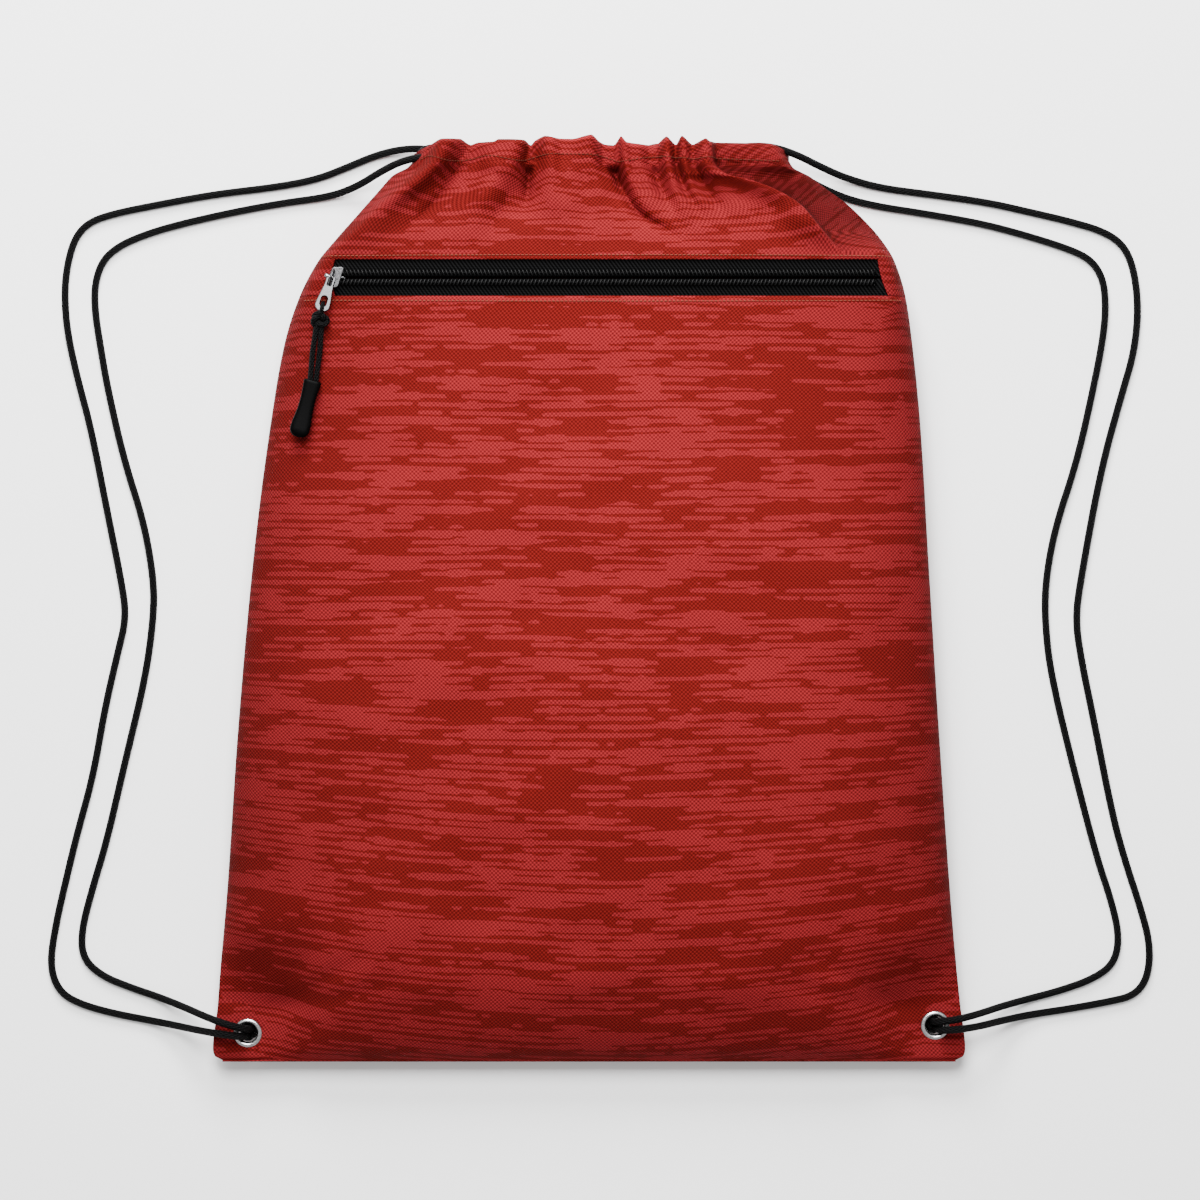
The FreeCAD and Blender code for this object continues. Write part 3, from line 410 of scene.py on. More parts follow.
class Nodes:
    """A short way to write a material's node tree."""

    def __init__(self, name):
        self.material = bpy.data.materials.new(name)
        self.material.use_nodes = True
        self.tree = self.material.node_tree
        self.tree.nodes.clear()
        self.shader = self.tree.nodes.new("ShaderNodeBsdfPrincipled")
        output = self.tree.nodes.new("ShaderNodeOutputMaterial")
        self.tree.links.new(self.shader.outputs[0], output.inputs["Surface"])

    def put(self, socket, value):
        """Link a value to a socket, or set a number, vector or colour on it."""
        if isinstance(value, Value):
            self.tree.links.new(value.socket, socket)
        else:
            socket.default_value = (*value, 1) if socket.type == "RGBA" else value

    def node(self, kind, inputs, output=0, **settings):
        """Add a node, fill its inputs by name or number, and return one output."""
        node = self.tree.nodes.new("ShaderNode" + kind)
        for key, value in settings.items():
            setattr(node, key, value)
        for key, value in inputs.items():
            self.put(node.inputs[key], value)
        return Value(self, node.outputs[output])

    def math(self, kind, *values):
        return self.node("Math", dict(enumerate(values)), operation=kind)

    def sine(self, value, pitch):
        """A wave along value, pitch millimetres long."""
        return self.math("SINE", value * (TURN / pitch))

    def millimetres(self, metres):
        return self.node("VectorMath", {0: metres, "Scale": 1000}, operation="SCALE")

    def uv(self):
        """The flat-cut coordinates in millimetres, as separate x and y."""
        whole = self.millimetres(self.node("UVMap", {}, uv_map="flat"))
        return [self.node("SeparateXYZ", {0: whole}, k) for k in (0, 1)]

    def place(self):
        """Object coordinates in millimetres."""
        return self.millimetres(self.node("TexCoord", {}, "Object"))

    def vector(self, x, y, z=0.0):
        return self.node("CombineXYZ", {0: x, 1: y, 2: z})

    def noise(self, vector, scale=1.0, detail=2.0, roughness=0.5, distortion=0.0):
        return self.node("TexNoise", {"Vector": vector, "Scale": scale, "Detail": detail,
                                      "Roughness": roughness, "Distortion": distortion})

    def ramp(self, value, stops):
        """A grey ramp through (place, level) stops."""
        result = self.node("ValToRGB", {0: value})
        elements = result.socket.node.color_ramp.elements
        while len(elements) < len(stops):
            elements.new(0.5)
        for element, (place, level) in zip(elements, stops):
            element.position = place
            element.color = (level, level, level, 1)
        return result

    def mix(self, factor, first, second, blend="MIX"):
        inputs = {"Factor": factor, "A": first, "B": second}
        return self.node("Mix", inputs, "Result", data_type="RGBA", blend_type=blend)

    def range(self, value, low, high, new_low=0.0, new_high=1.0):
        return self.node("MapRange", {
            "Value": value, "From Min": low, "From Max": high, "To Min": new_low, "To Max": new_high})

    def finish(self, colour, roughness, specular=0.5, height=None, distance=0.0, strength=0.0, metallic=0.0):
        """Set the shader's inputs, with a bump from height, and return the material."""
        shader = self.shader.inputs
        if height is not None:
            bump = self.node("Bump", {"Strength": strength, "Distance": distance * MM, "Height": height})
            self.put(shader["Normal"], bump)
        for key, value in (("Base Color", colour), ("Roughness", roughness), ("Specular IOR Level", specular),
                           ("Metallic", metallic)):
            self.put(shader[key], value)
        return self.material


WEAVE_PITCH = 1.89       # mm between neighbouring yarns of the red cloth
STREAK_PITCH = 3.8       # mm between neighbouring rows of streaks
DARK_RED, LIGHT_RED = (0.089, 0.0044, 0.0039), (0.143, 0.0086, 0.0100)
# How wide a streak is in its row, by how full the cloth is of streaks there.
STREAK_WIDTHS = ((0.240, 0.0), (0.252, 0.34), (0.290, 0.45), (0.50, 0.52), (0.585, 0.62), (0.600, 1.0))


def red_cloth(name, painted_light_gain=1.0):
    """Two-tone red cloth: rows of light streaks that merge into patches over a darker ground, and a weave,
    darkened by painted shade.
    """
    n = Nodes(name)
    u, v = n.uv()
    sway = n.noise(n.vector(u * 0.006, v * 0.012), detail=1.0)
    wobble = n.noise(n.vector(u * 0.05, v * 0.08, 3.0), detail=1.0)
    level = v + (sway - 0.5) * 7.0 + (wobble - 0.5)
    place = level * (1 / STREAK_PITCH)
    row = n.math("FLOOR", place)
    aside = n.math("ABSOLUTE", (place - row) * 2.0 - 1.0)
    patch = n.noise(n.vector(u * (1 / 62), level * (1 / 10.5)), detail=1.4)
    runs = n.noise(n.vector(u * (1 / 24), row * 1.37, 5.5))
    fill = (patch - 0.5) * 5.0 + (runs - 0.5) * 6.6
    width = n.ramp(n.range(fill, -1.25, 1.75), STREAK_WIDTHS)
    ground = n.mix(n.range(width * 1.06 - aside, -0.03, 0.05), DARK_RED, LIGHT_RED)
    knit = n.sine(u, WEAVE_PITCH) * n.sine(v, WEAVE_PITCH)
    slub = n.noise(n.vector(u * 0.5, v * 2.2), detail=3.0, roughness=0.7)
    weave = n.range(knit * 0.31 + (slub - 0.5) * 0.5, -0.5, 0.5)
    tone = n.mix(weave, (0.10, 0.06, 0.05), (1.95, 2.02, 2.04))
    # Painted shade: the cloth is drawn darker towards the bottom of the bag (low v), where the light falls off,
    # and darker where the mesh's shade attribute says. The gain darkens a whole copy of the cloth as painted
    # shade.
    shade = n.node("Attribute", {}, "Fac", attribute_name="shade")
    fade = n.range(v, -190.0, 60.0, 0.76 * painted_light_gain, painted_light_gain) * (1.0 - shade)
    colour = n.mix(1.0, n.mix(1.0, ground, tone, "MULTIPLY"), n.vector(fade, fade, fade), "MULTIPLY")
    return n.finish(colour, n.range(slub, 0.2, 0.8, 0.78, 0.9), 0.03, knit * 0.5 + slub * 0.5, 0.3, 0.9)


def plain_cloth(name, dark, light):
    """Plain woven cloth, 0.9 mm a yarn."""
    n = Nodes(name)
    u, v = n.uv()
    knit = n.sine(u, 0.9) * n.sine(v, 0.9)
    slub = n.noise(n.vector(u * 0.8, v * 0.8), detail=3.0, roughness=0.6)
    return n.finish(n.mix(knit * 0.3 + slub, dark, light), 0.85, 0.08, knit + slub, 0.2, 0.7)


def tape_cloth():
    """Black zip tape: a slanting twill over fine ribs along its length."""
    n = Nodes("zip_tape_weave")
    u, v = n.uv()
    twill = n.math("SINE", u * (TURN / 1.8) + v * (TURN / 2.4))
    height = n.sine(v, 0.9) * 0.3 + twill * 0.7
    fuzz = n.noise(n.vector(u * 1.3, v * 1.3), detail=3.0, roughness=0.7)
    tone = n.mix(n.range(height + fuzz, 0.1, 1.3), (0.0002, 0.0002, 0.0002), (0.0052, 0.0052, 0.0054))
    return n.finish(tone, 0.9, 0.02, height, 0.12, 0.7)


def braid():
    """Black braided cord: two crossing sets of strands wound round it."""
    n = Nodes("black_braid")
    u, v = n.uv()
    round_it, along = u * (TURN / 1.37), v * (TURN / 2.4)
    plait = n.math("MAXIMUM", n.math("SINE", round_it + along), n.math("SINE", round_it - along))
    fuzz = n.noise(n.vector(u * 3.0, v * 3.0), detail=3.0, roughness=0.7)
    tone = n.mix(n.range(plait + fuzz, -0.2, 1.7), (0.0003, 0.0003, 0.0003), (0.0022, 0.0022, 0.0024))
    return n.finish(tone, 0.62, 0.055, plait, 0.3, 0.9)


def plastic(name, low, high, rough, grain, shine):
    """A speckled finish for moulded plastic and thread."""
    n = Nodes(name)
    speckle = n.noise(n.place(), grain, 4.0, 0.7)
    gloss = n.range(speckle, 0.3, 0.7, rough - 0.08, rough + 0.1)
    return n.finish(n.mix(speckle, low, high), gloss, shine, speckle, 0.03, 0.6)


def metal(name, low, high, rough):
    """Plated die-cast metal with a faint grain and small scratches."""
    n = Nodes(name)
    place = n.place()
    grain = n.noise(place, 1.1, 5.0, 0.7)
    scratch = n.noise(place, 6.0, 2.0, 0.8, 2.0)
    gloss = n.range(grain + scratch * 0.4, 0.45, 0.95, rough - 0.1, rough + 0.14)
    return n.finish(n.mix(n.range(grain, 0.35, 0.65), low, high), gloss, 0.5, grain + scratch, 0.01, 0.5, 1.0)


MATERIALS = {
    "red": red_cloth("red_streaked_cloth"),
    # The back's cloth is the same cloth drawn 5% darker: painted shade.
    "back": red_cloth("red_back_cloth", 0.95),
    "lining": plain_cloth("lining_cloth", (0.03, 0.0024, 0.0018), (0.05, 0.004, 0.003)),
    "thread": plastic("tan_thread", (0.100, 0.021, 0.013), (0.165, 0.045, 0.028), 0.8, 1.4, 0.05),
    "red_thread": plastic("brown_thread", (0.050, 0.008, 0.005), (0.090, 0.020, 0.013), 0.8, 1.4, 0.05),
    "tape": tape_cloth(),
    "coil": plastic("coil_nylon", (0.0006, 0.0006, 0.0006), (0.0022, 0.0022, 0.0024), 0.42, 0.4, 0.14),
    "braid": braid(),
    "grip": plastic("grip_rubber", (0.0003, 0.0003, 0.0003), (0.0010, 0.0010, 0.0011), 0.42, 0.9, 0.025),
    "slider": metal("slider_plating", (0.034, 0.035, 0.036), (0.070, 0.070, 0.072), 0.26),
    # The crossbar's plating is the slider's plating drawn several times brighter: a painted highlight.
    "painted_highlight": metal("tab_crossbar_painted_highlight_plating", (0.13, 0.13, 0.13), (0.24, 0.24, 0.245), 0.2),
    "ring": metal("eyelet_plating", (0.34, 0.335, 0.335), (0.50, 0.50, 0.505), 0.2),
}


# ---- bag cloth

# The side seams get painted shade, where the cloth turns away from the light.
SIDE_SHADE, SIDE_FADE = 0.36, 46     # how much darker the cloth is at the side seams, and over how many mm
YOKE_TOP = TOP_Y - 4                 # the yoke's last row, before the mouth's own top edge
HEM_ROLL = 2.4                       # how far the casing's fold stands above its last row
CORD_COVER_Z = 31.2                  # least height of the casing's front, over the cords in it
SEAM_DROP = 6.8                      # how far the back's sides drop where the mouth's corners round off
HEM_BULGE = 0.9                      # how far the closed bottom edge stands out
HALF_WIDTH = 176                     # of the bag near its bottom


def soften(x, y):
    """Small unevenness of the filled bag, millimetres."""
    return 0.9 * waves(x, y, 3, 95) + 0.35 * waves(x * 0.7, y, 5, 38)


def side_shade(gap):
    """Painted shade: how much darker the cloth is drawn where it turns down to a side seam, gap millimetres
    away.
    """
    return SIDE_SHADE * np.exp(-(gap / SIDE_FADE) ** 1.15)


def edge_shade(x, y):
    """The painted side shade at every point of a grid, fading out at the bottom corners."""
    return side_shade(np.minimum(x - x[:, :1], x[:, -1:] - x)) * step(-205, -110, y)


def corner_pull(x, y):
    """How far the grain bows down between the bottom corners, which pull it up."""
    return 21 * step(60, -205, y) ** 1.4 * (np.abs(x) / HALF_WIDTH) ** 2


def bottom_fold(x, z):
    """Rows that carry the front wall's bottom edge round to the back wall, which closes the bag."""
    _, back = across(HEM_Y, "back")
    angle = np.linspace(math.pi, 0, 9, endpoint=False)[:, None]
    y = HEM_Y - HEM_BULGE * np.sin(angle) + 0 * x
    return np.stack([x + 0 * angle, y, (z + back) / 2 + (z - back) / 2 * np.cos(angle)], -1)


# Creases that run from each bottom corner into the panel: reach, angle and depth.
CORNER_X, CORNER_ROW, CREASE_WIDTH = 152, -196, 5.0
CREASES = ((70, 0.55, 1.5), (52, 0.95, 1.2), (88, 0.25, 1.0))


def pocket_panel():
    rows = np.concatenate([np.linspace(HEM_Y, -178, 34), np.linspace(-176, LIP_Y, 130)])
    x, z = across(rows, "front")
    y = np.broadcast_to(rows[:, None], x.shape).copy()
    ends = step(HEM_Y + 4, HEM_Y + 50, y) * step(LIP_Y - 4, LIP_Y - 60, y)
    z = z + soften(x, y) * from_edges(x, 4, 40) * ends
    for side in (-1, 1):
        for reach, angle, depth in CREASES:
            dx, dy = (x - side * CORNER_X) * -side, y - CORNER_ROW
            along = dx * math.cos(angle) + dy * math.sin(angle)
            aside = -dx * math.sin(angle) + dy * math.cos(angle)
            fade = step(-6, 14, along) * step(reach, reach * 0.4, along)
            z = z - depth * np.exp(-(aside / CREASE_WIDTH) ** 2) * fade
    points = np.concatenate([bottom_fold(x[:1], z[:1]), np.stack([x, y, z], -1)])
    x, y = points[..., 0], points[..., 1]
    flat = unrolled(points)
    flat[..., 0] += 4 * np.sin(y / 60)
    flat[..., 1] -= corner_pull(x, y)
    # shade here is the painted side shade.
    return cloth("pocket_front", "front_panel", points, flat, shade=edge_shade(x, y), holes=HOLES), points


# Gathers of the yoke, each running from the zip to the mouth. Its path as (y, x) pairs, its half width,
# its height at the mouth and the y where it dies out.
GATHERS = [
    (((150, -122), (175, -103), (186, -94), (198, -79), (208, -70), (219, -66)), 7, 8, 160),
    (((160, -76), (178, -60), (200, -47), (219, -46)), 5, 4, 180),
    (((160, -68), (178, -53), (200, -40), (210, -36), (219, -34)), 7.5, 7, 163),
    (((168, -18), (192, -19), (210, -18.5), (219, -18.5)), 4.6, 6.6, 176),
    (((160, -12), (192, -9), (210, -7), (219, -5)), 9, 6, 164),
    (((164, 16), (176, 10), (192, 5), (207, 1.5), (219, 1)), 4, 4.4, 166),
    (((170, 33), (184, 26), (196, 20), (207, 17), (219, 16)), 2.8, 7.2, 178),
    (((168, 42), (184, 34), (196, 27), (207, 23), (219, 22)), 4.2, 4.6, 174),
    (((162, 60), (180, 47), (195, 40), (207, 37), (219, 36.5)), 3.4, 7, 168),
    (((162, 70), (180, 58), (195, 48), (207, 44.5), (219, 44)), 3, 6.6, 172),
    (((166, 84), (180, 70), (195, 60), (207, 55), (219, 55)), 4, 4.8, 176),
]
HOLLOWS = [
    (((160, -104), (178, -82), (192, -69), (202, -62.5), (213, -56), (219, -55.5)), 3.2, -3, 168),
    (((166, -52), (182, -42), (192, -38), (202, -45)), 7, -2.2, 168),
    (((172, -33), (192, -29), (207, -28), (219, -27.5)), 2.6, -7.6, 178),
    (((162, 50), (168, 43), (174, 35.5), (183, 22.5), (196, 14.5), (207, 9), (219, 7.5)), 2.6, -5.4, 166),
    (((182, 15), (192, 14.5), (207, 12.6), (219, 11.8)), 1.8, -6.6, 186),
    (((170, 46), (184, 38), (196, 33), (207, 30.5), (219, 30)), 2.6, -4, 178),
    (((172, 62), (184, 51), (196, 44), (207, 41), (219, 40.5)), 1.7, -3.6, 182),
    (((172, 74), (184, 62), (196, 54), (207, 49.5), (219, 49)), 2.2, -2, 182),
]
# The big fold on the right overlaps a recessed flap: (y, x) of its edge.
FOLD_EDGE = ((140, 152), (150, 139), (157, 129), (165, 116.2), (176.3, 106.5), (185.3, 98.9), (192, 88.5),
             (197.6, 74), (200, 64), (206.6, 57.8), (222, 57))
# The mouth's ruffled top edge: (x, y).
TOP_EDGE = ((-96, 209.2), (-86.6, 210), (-80, 212.2), (-74.3, 214.7), (-69.6, 217), (-60.6, 217.2),
            (-55.9, 214.4), (-52.5, 215.6), (-45, 215.8), (-42.6, 217), (-30.3, 216.6), (-27.4, 214.2),
            (-25.6, 216.4), (-20.8, 218.5), (-14, 217.2), (-7.6, 217), (-1, 218.6), (1.4, 219), (4.8, 216),
            (7.8, 214.6), (11.8, 214.3), (15.1, 218.5), (17.6, 215.6), (25, 214.6), (31.2, 214.2),
            (36.5, 218.2), (41, 214.3), (43.6, 218.5), (48.8, 214.3), (55, 217), (56.8, 215.6), (85.2, 215.2),
            (92.8, 212.3), (97, 210), (104, 209.2))


FOLD_HEIGHT, FOLD_INNER, FOLD_OUTER = 8.0, 15, 1.4     # the fold falls off gently inside, steeply outside


def ridge(x, y, path, spread, power):
    """A ridge of height 1 along a path, that falls off over spread millimetres to each side."""
    return np.exp(-(np.abs(x - follow(path, y)) / spread) ** power)


def gathers(x, y):
    """How far the yoke's folds raise it, its hollows alone, the gap past the big fold's edge and its share."""
    high, low = np.zeros_like(x), np.zeros_like(x)
    for path, width, height, end in GATHERS:
        crest = 1.15 * min(1.0, width / 5.2) ** 0.6
        spread = width * (1 + 0.6 * (1 - step(end, CASING_Y, y)))
        high += crest * height * step(end, CASING_Y + 2, y) ** 0.8 * ridge(x, y, path, spread, 2.2)
    for path, width, height, end in HOLLOWS:
        top = path[-1][0]
        fade = step(end, end + 18, y) * (1 - 0.3 * step(203, 214, y)) * step(top + 4, top - 4, y)
        spread = width * (1 + 0.5 * (1 - step(end, end + 24, y)))
        low += height * fade * ridge(x, y, path, spread, 1.35)
    gap = x - follow(FOLD_EDGE, y)
    share = step(161, 181, y)
    fold = FOLD_HEIGHT * np.exp(-(gap / np.where(gap < 0, FOLD_INNER, FOLD_OUTER)) ** 2)
    return high * step(12, -4, gap) + low + fold * share, low, gap, share


def flap_slope(x, z, gap, share, y):
    """Lower the flap behind the big fold to a slope that runs down to the side seam."""
    seam = smooth(SECTIONS[:, 5], SECTIONS[:, 0], y[:, 0])[:, None]
    wide = np.maximum(x[:, -1:] - (x - gap), 8)
    shelf = np.clip(1 - gap / wide, 0, 1)
    line = seam + 1 + (z - seam - 5) * shelf ** 0.75
    weight = share * step(0.2, 2.6, gap) * (1 - step(186, 210, y))
    return z + (np.minimum(z, line) - z) * weight


def top_edge(x):
    places, heights = np.array(TOP_EDGE).T
    return 0.4 * smooth(heights, places, x) + 0.6 * np.interp(x, places, heights)


def corner_lean(y):
    """From 0 low on the yoke to 1 at its last row: how far a row follows the mouth's rounded top edge."""
    return step(0.72, 1.0, (y - BROW_Y) / (YOKE_TOP - BROW_Y))


YOKE_COLUMNS = 270       # in its flat part


def yoke_surface(rows):
    """Points and painted shade of the yoke and the casing's front at fractions rows: 0 at the zip, 1 at
    YOKE_TOP.

    Also how high each point stands in a gather, and how far it is on the flap behind the big fold.
    """
    base_y = BROW_Y + (YOKE_TOP - BROW_Y) * rows
    x, z = across(base_y, "front", YOKE_COLUMNS)
    y0 = np.broadcast_to(base_y[:, None], x.shape)
    high, low, gap, share = gathers(x, y0)
    edge = from_edges(x, 1, 9)
    high = high * edge
    y = y0 + (top_edge(x) - HEM_ROLL - YOKE_TOP) * corner_lean(y0)
    z = flap_slope(x, z + high, gap, share, y0)
    in_casing = step(CASING_Y - 4, CASING_Y + 1, y0) * edge
    z = z * (1 - in_casing) + np.maximum(z, CORD_COVER_Z) * in_casing
    z = z + 0.25 * waves(x, y, 11, 16) * edge * step(0.1, 0.5, rows)[:, None]
    # Painted shade: the flap behind the big fold is drawn darker, with a painted shadow along the fold's edge,
    # and the gathers' hollows are drawn a little darker, over the painted side shade.
    flap = step(0.2, 2.0, gap) * (1 - 0.5 * step(192, 212, y))
    fold_shadow = np.exp(-(np.maximum(gap, 0) / 5) ** 1.2)
    valley = np.clip(-low / 7, 0, 1) * (1 - flap * share)
    flap_shade = flap * step(156, 167, y) * (0.38 + 0.27 * share + 0.19 * fold_shadow)
    shade = 1 - (1 - np.maximum(edge_shade(x, y), flap_shade)) * (1 - 0.2 * valley)
    return np.stack([x, y, z], -1), shade, high, flap * share


def yoke():
    """The gathered yoke and, cut from the same surface above the row of stitches, the front casing."""
    rows = np.concatenate([np.linspace(0, 0.12, 8, endpoint=False), np.linspace(0.12, 1, 110)])
    points, shade, high, flap = yoke_surface(rows)
    flat = unrolled(points)
    x = points[..., 0]
    # The streaks rise over the gathers, droop to the sides and slant down on the flap behind the big fold.
    flat[..., 1] = (rows * 62)[:, None] + 200 - 0.4 * high - 0.1 * np.abs(x) * rows[:, None]
    flat[..., 1] -= np.minimum(flap * 1.5, 1) * (9 + 0.75 * (x - 100))
    stitch_row = int(np.argmin(np.abs(points[:, points.shape[1] // 2, 1] - (CASING_Y + 0.5))))
    below, above = slice(stitch_row + 1), slice(stitch_row, None)
    panel = cloth("yoke_front", "front_yoke", points[below], flat[below], shade=shade[below])
    return panel, points, front_casing(points[above], flat[above], shade[above])


def front_casing(front, flat, shade):
    """The hem tube: the front layer, the rolled top edge and the inner layer behind the cords."""
    last = front[-1]
    half = np.maximum((last[:, 2] - CASING_Z - 0.4) / 2, 0.8)
    added = []
    for angle in np.linspace(0, math.pi, 12)[1:]:
        row = last.copy()
        row[:, 1] += HEM_ROLL * math.sin(angle)
        row[:, 2] -= half * (1 - math.cos(angle))
        added.append(row)
    inner = added[-1]
    for share in np.linspace(0, 1, 10)[1:]:
        row = inner.copy()
        row[:, 1] += (CASING_Y + 0.8 - row[:, 1]) * share
        added.append(row)
    more = np.repeat(flat[-1:], len(added), 0)
    more[..., 1] += (np.arange(1, len(added) + 1) * 0.9)[:, None]
    points, flat = np.concatenate([front, added]), np.concatenate([flat, more])
    shade = np.concatenate([shade, np.repeat(shade[-1:], len(added), 0)])
    return cloth("mouth_hem_front", "front_casing", points, flat, thickness=0.6, shade=shade)


def back_wall():
    """The back panel, which lies on the floor and ruffles up towards the mouth."""
    rows = np.concatenate([np.linspace(HEM_Y, -178, 24), np.linspace(-176, CASING_Y + 3.2, 90)])
    x, z = across(rows, "back")
    y = np.broadcast_to((rows - SEAM_DROP * corner_lean(rows))[:, None], x.shape)
    ruffle = 1.2 * np.sin(x * TURN / 17 + 1.3 * np.sin(x / 9)) * step(160, 204, y)
    z = z + np.maximum(ruffle, 0.05 - z) * from_edges(x, 3, 20) * step(150, 204, y)
    points = np.stack([x, y, z], -1)[:, ::-1]
    return cloth("back_wall", "back_panel", points, unrolled(points), "back", holes=HOLES)


def back_casing():
    """The back hem: a closed tube of cloth with a ruffled top."""
    x = np.linspace(-76, 86, 180)
    low, high = BACK_CASING_Z + 0.2, BACK_CASING_Z + 8.0
    ruffle = 1.3 * np.sin(x * TURN / 15 + 1.5 * np.sin(x / 11))
    grid = []
    for angle in np.linspace(0, TURN, 40):
        c, s = math.cos(angle), math.sin(angle)
        y = CASING_Y + 5.0 + 5.3 * c + ruffle * 0.7 * step(0, 1, c)
        z = (low + high) / 2 + (high - low) / 2 * np.sign(s) * abs(s) ** 0.6
        grid.append(np.stack([x, y, z + 0.5 * np.abs(ruffle) * (s > 0.1)], -1))
    points = np.stack(grid)
    cloth("mouth_hem_back", "back_casing", points, unrolled(points), "back", thickness=0.6)


def zip_tabs():
    """The cloth pieces that cover both ends of the zip."""
    rows = np.linspace(LIP_Y - 0.2, BROW_Y + 0.2, 16)
    walls = across(rows, "front")
    curve = np.sin(np.linspace(0.35, math.pi * 0.9, len(rows)))
    left_end = ZIP_LEFT + 1.6 - 2.2 * curve
    right_end = ZIP_RIGHT + np.linspace(5.6, 0.4, len(rows)) - 1.3 * curve
    for side, sign, end in (("left", 1, left_end), ("right", -1, right_end)):
        strip_x, strip_z = [wall[:, ::sign][:, :EDGE_STEPS + 1] for wall in walls]
        reach = np.linspace(0, 1, 9)[1:]
        flat_x = strip_x[:, -1:] + (end[:, None] - strip_x[:, -1:]) * reach
        flat_z = np.repeat(strip_z[:, -1:], len(reach), 1) + 0.15
        flat_z[:, -1] -= 0.5
        gx = np.concatenate([strip_x, flat_x], 1)
        gz = np.concatenate([strip_z, flat_z], 1)
        points = np.stack([gx, np.broadcast_to(rows[:, None], gx.shape), gz], -1)[:, ::sign]
        # Painted shade towards the side seam.
        shade = side_shade(np.abs(gx - gx[:, :1]))[:, ::sign]
        flat = unrolled(points) + (sign * 150, 170)
        cloth("zip_end_" + side, "zip_tab_" + side, points, flat, thickness=0.8, shade=shade)


def lining():
    """The zip pocket's lining: a flat sheet that turns up to the upper tape."""
    low, high = corners("pocket_lining")
    xs = np.linspace(low[0] + 2, high[0] - 2, 60)
    x, y = np.meshgrid(xs, np.linspace(low[1] + 1, high[1] - 1.2, 60))
    z = low[2] + 0.7 + 0.35 * waves(x, y, 21, 60) * step(high[1], high[1] - 40, y)
    panel = np.stack([x, y, z], -1)
    panel[-1, :, 1] = high[1] - 0.6
    rise = np.stack([np.linspace(low[2] + 0.7, high[2] - 0.1, 6)] * len(xs), 1)[1:]
    top = np.stack([np.broadcast_to(xs, rise.shape), np.full_like(rise, high[1] - 0.6), rise], -1)
    points = np.concatenate([panel, top])
    return cloth("pocket_back", "pocket_lining", points, unrolled(points), "lining", 0.4)


# ---- zip

COIL_PITCH, COIL_WIRE = 1.8, 0.4     # of the coils, and the radius of their wire


def zip_tapes():
    """Two tapes under the coils, which sink where the walls of the bag fall away."""
    for side in ("upper", "lower"):
        low, high = corners("zip_tape_" + side)
        ys = np.linspace(low[1], high[1], 14)
        x, y = np.meshgrid(np.linspace(low[0], high[0] + 6.5, 120), ys)
        wall = np.array([np.interp(*row) for row in zip(x, *across(ys, "front"))])
        points = np.stack([x, y, np.minimum(high[2] - 0.05, wall - 1.2)], -1)
        cloth("tape_" + side, "zip_tape_" + side, points, points[..., :2], "tape", 0.6)


def zip_coils():
    """Two mirrored rows of flattened coil, each turn slanting over the top, round a core."""
    for side, sign in (("upper", 1), ("lower", -1)):
        low, high = corners("zip_coil_" + side) + ((0, 0, 0), (1.6, 0, 0))
        _, axis_y, axis_z = (low + high) / 2
        reach, lift = (high - low)[1:] / 2 - COIL_WIRE
        turns = int((high[0] - low[0] - 2) / COIL_PITCH)
        angle = np.linspace(0, TURN * turns, turns * 16)
        x = low[0] + 1 + COIL_PITCH * angle / TURN - 0.24 * np.cos(angle)
        path = np.stack([x, axis_y + sign * reach * np.cos(angle), axis_z + lift * np.sin(angle)], -1)
        tube("coil_" + side, "zip_coil_" + side, path, COIL_WIRE, "coil", 6)
        core = [(x, axis_y, axis_z - 0.05) for x in np.linspace(low[0] + 0.5, high[0] - 0.5, 60)]
        tube("coil_core_" + side, None, core, 0.62, "tape", 8)


# ---- zip pull

def rounded(outline, radius, steps=5):
    """A closed outline with each corner replaced by a small arc-like curve."""
    outline = [np.array(point, float) for point in outline]
    line = []
    for before, here, after in zip(outline[-1:] + outline[:-1], outline, outline[1:] + outline[:1]):
        reach = min(radius, 0.45 * np.linalg.norm(before - here), 0.45 * np.linalg.norm(after - here))
        start = here + unit(before - here) * reach
        end = here + unit(after - here) * reach
        for t in np.linspace(0, 1, steps):
            line.append((1 - t) ** 2 * start + 2 * t * (1 - t) * here + t * t * end)
    return np.array(line)


def box_outline(left, right, near, far, radius):
    return rounded([(left, near), (right, near), (right, far), (left, far)], radius)


def oval(start, end, radius):
    """A closed slot outline along X between two centres."""
    line = []
    for centre, first in ((end, -math.pi / 2), (start, math.pi / 2)):
        for t in np.linspace(first, first + math.pi, 12):
            line.append((centre + radius * math.cos(t), radius * math.sin(t)))
    return np.array(line)


def plate(name, node, outlines, thickness, bevel, origin, body="slider", axes=((1, 0, 0), (0, 1, 0))):
    """A flat metal plate with bevelled edges; the outlines after the first are its holes."""
    curve = new_curve(name, "2D", "POLY", [[(x * MM, y * MM, 0) for x, y in outline] for outline in outlines])
    for spline in curve.splines:
        spline.use_cyclic_u = True
    curve.fill_mode = "BOTH"
    curve.extrude = (thickness / 2 - bevel) * MM
    curve.bevel_depth = bevel * MM
    curve.bevel_resolution = 3
    curve.offset = -bevel * MM
    mesh = curve_mesh(curve)
    x_axis, y_axis = np.array(axes, float)
    normal = np.cross(x_axis, y_axis)
    for vertex in mesh.vertices:
        x, y, z = vertex.co
        vertex.co = np.array(origin) * MM + x_axis * x + y_axis * y + normal * z
    mesh.update()
    placed(name, node, mesh, "slider", body, 30)


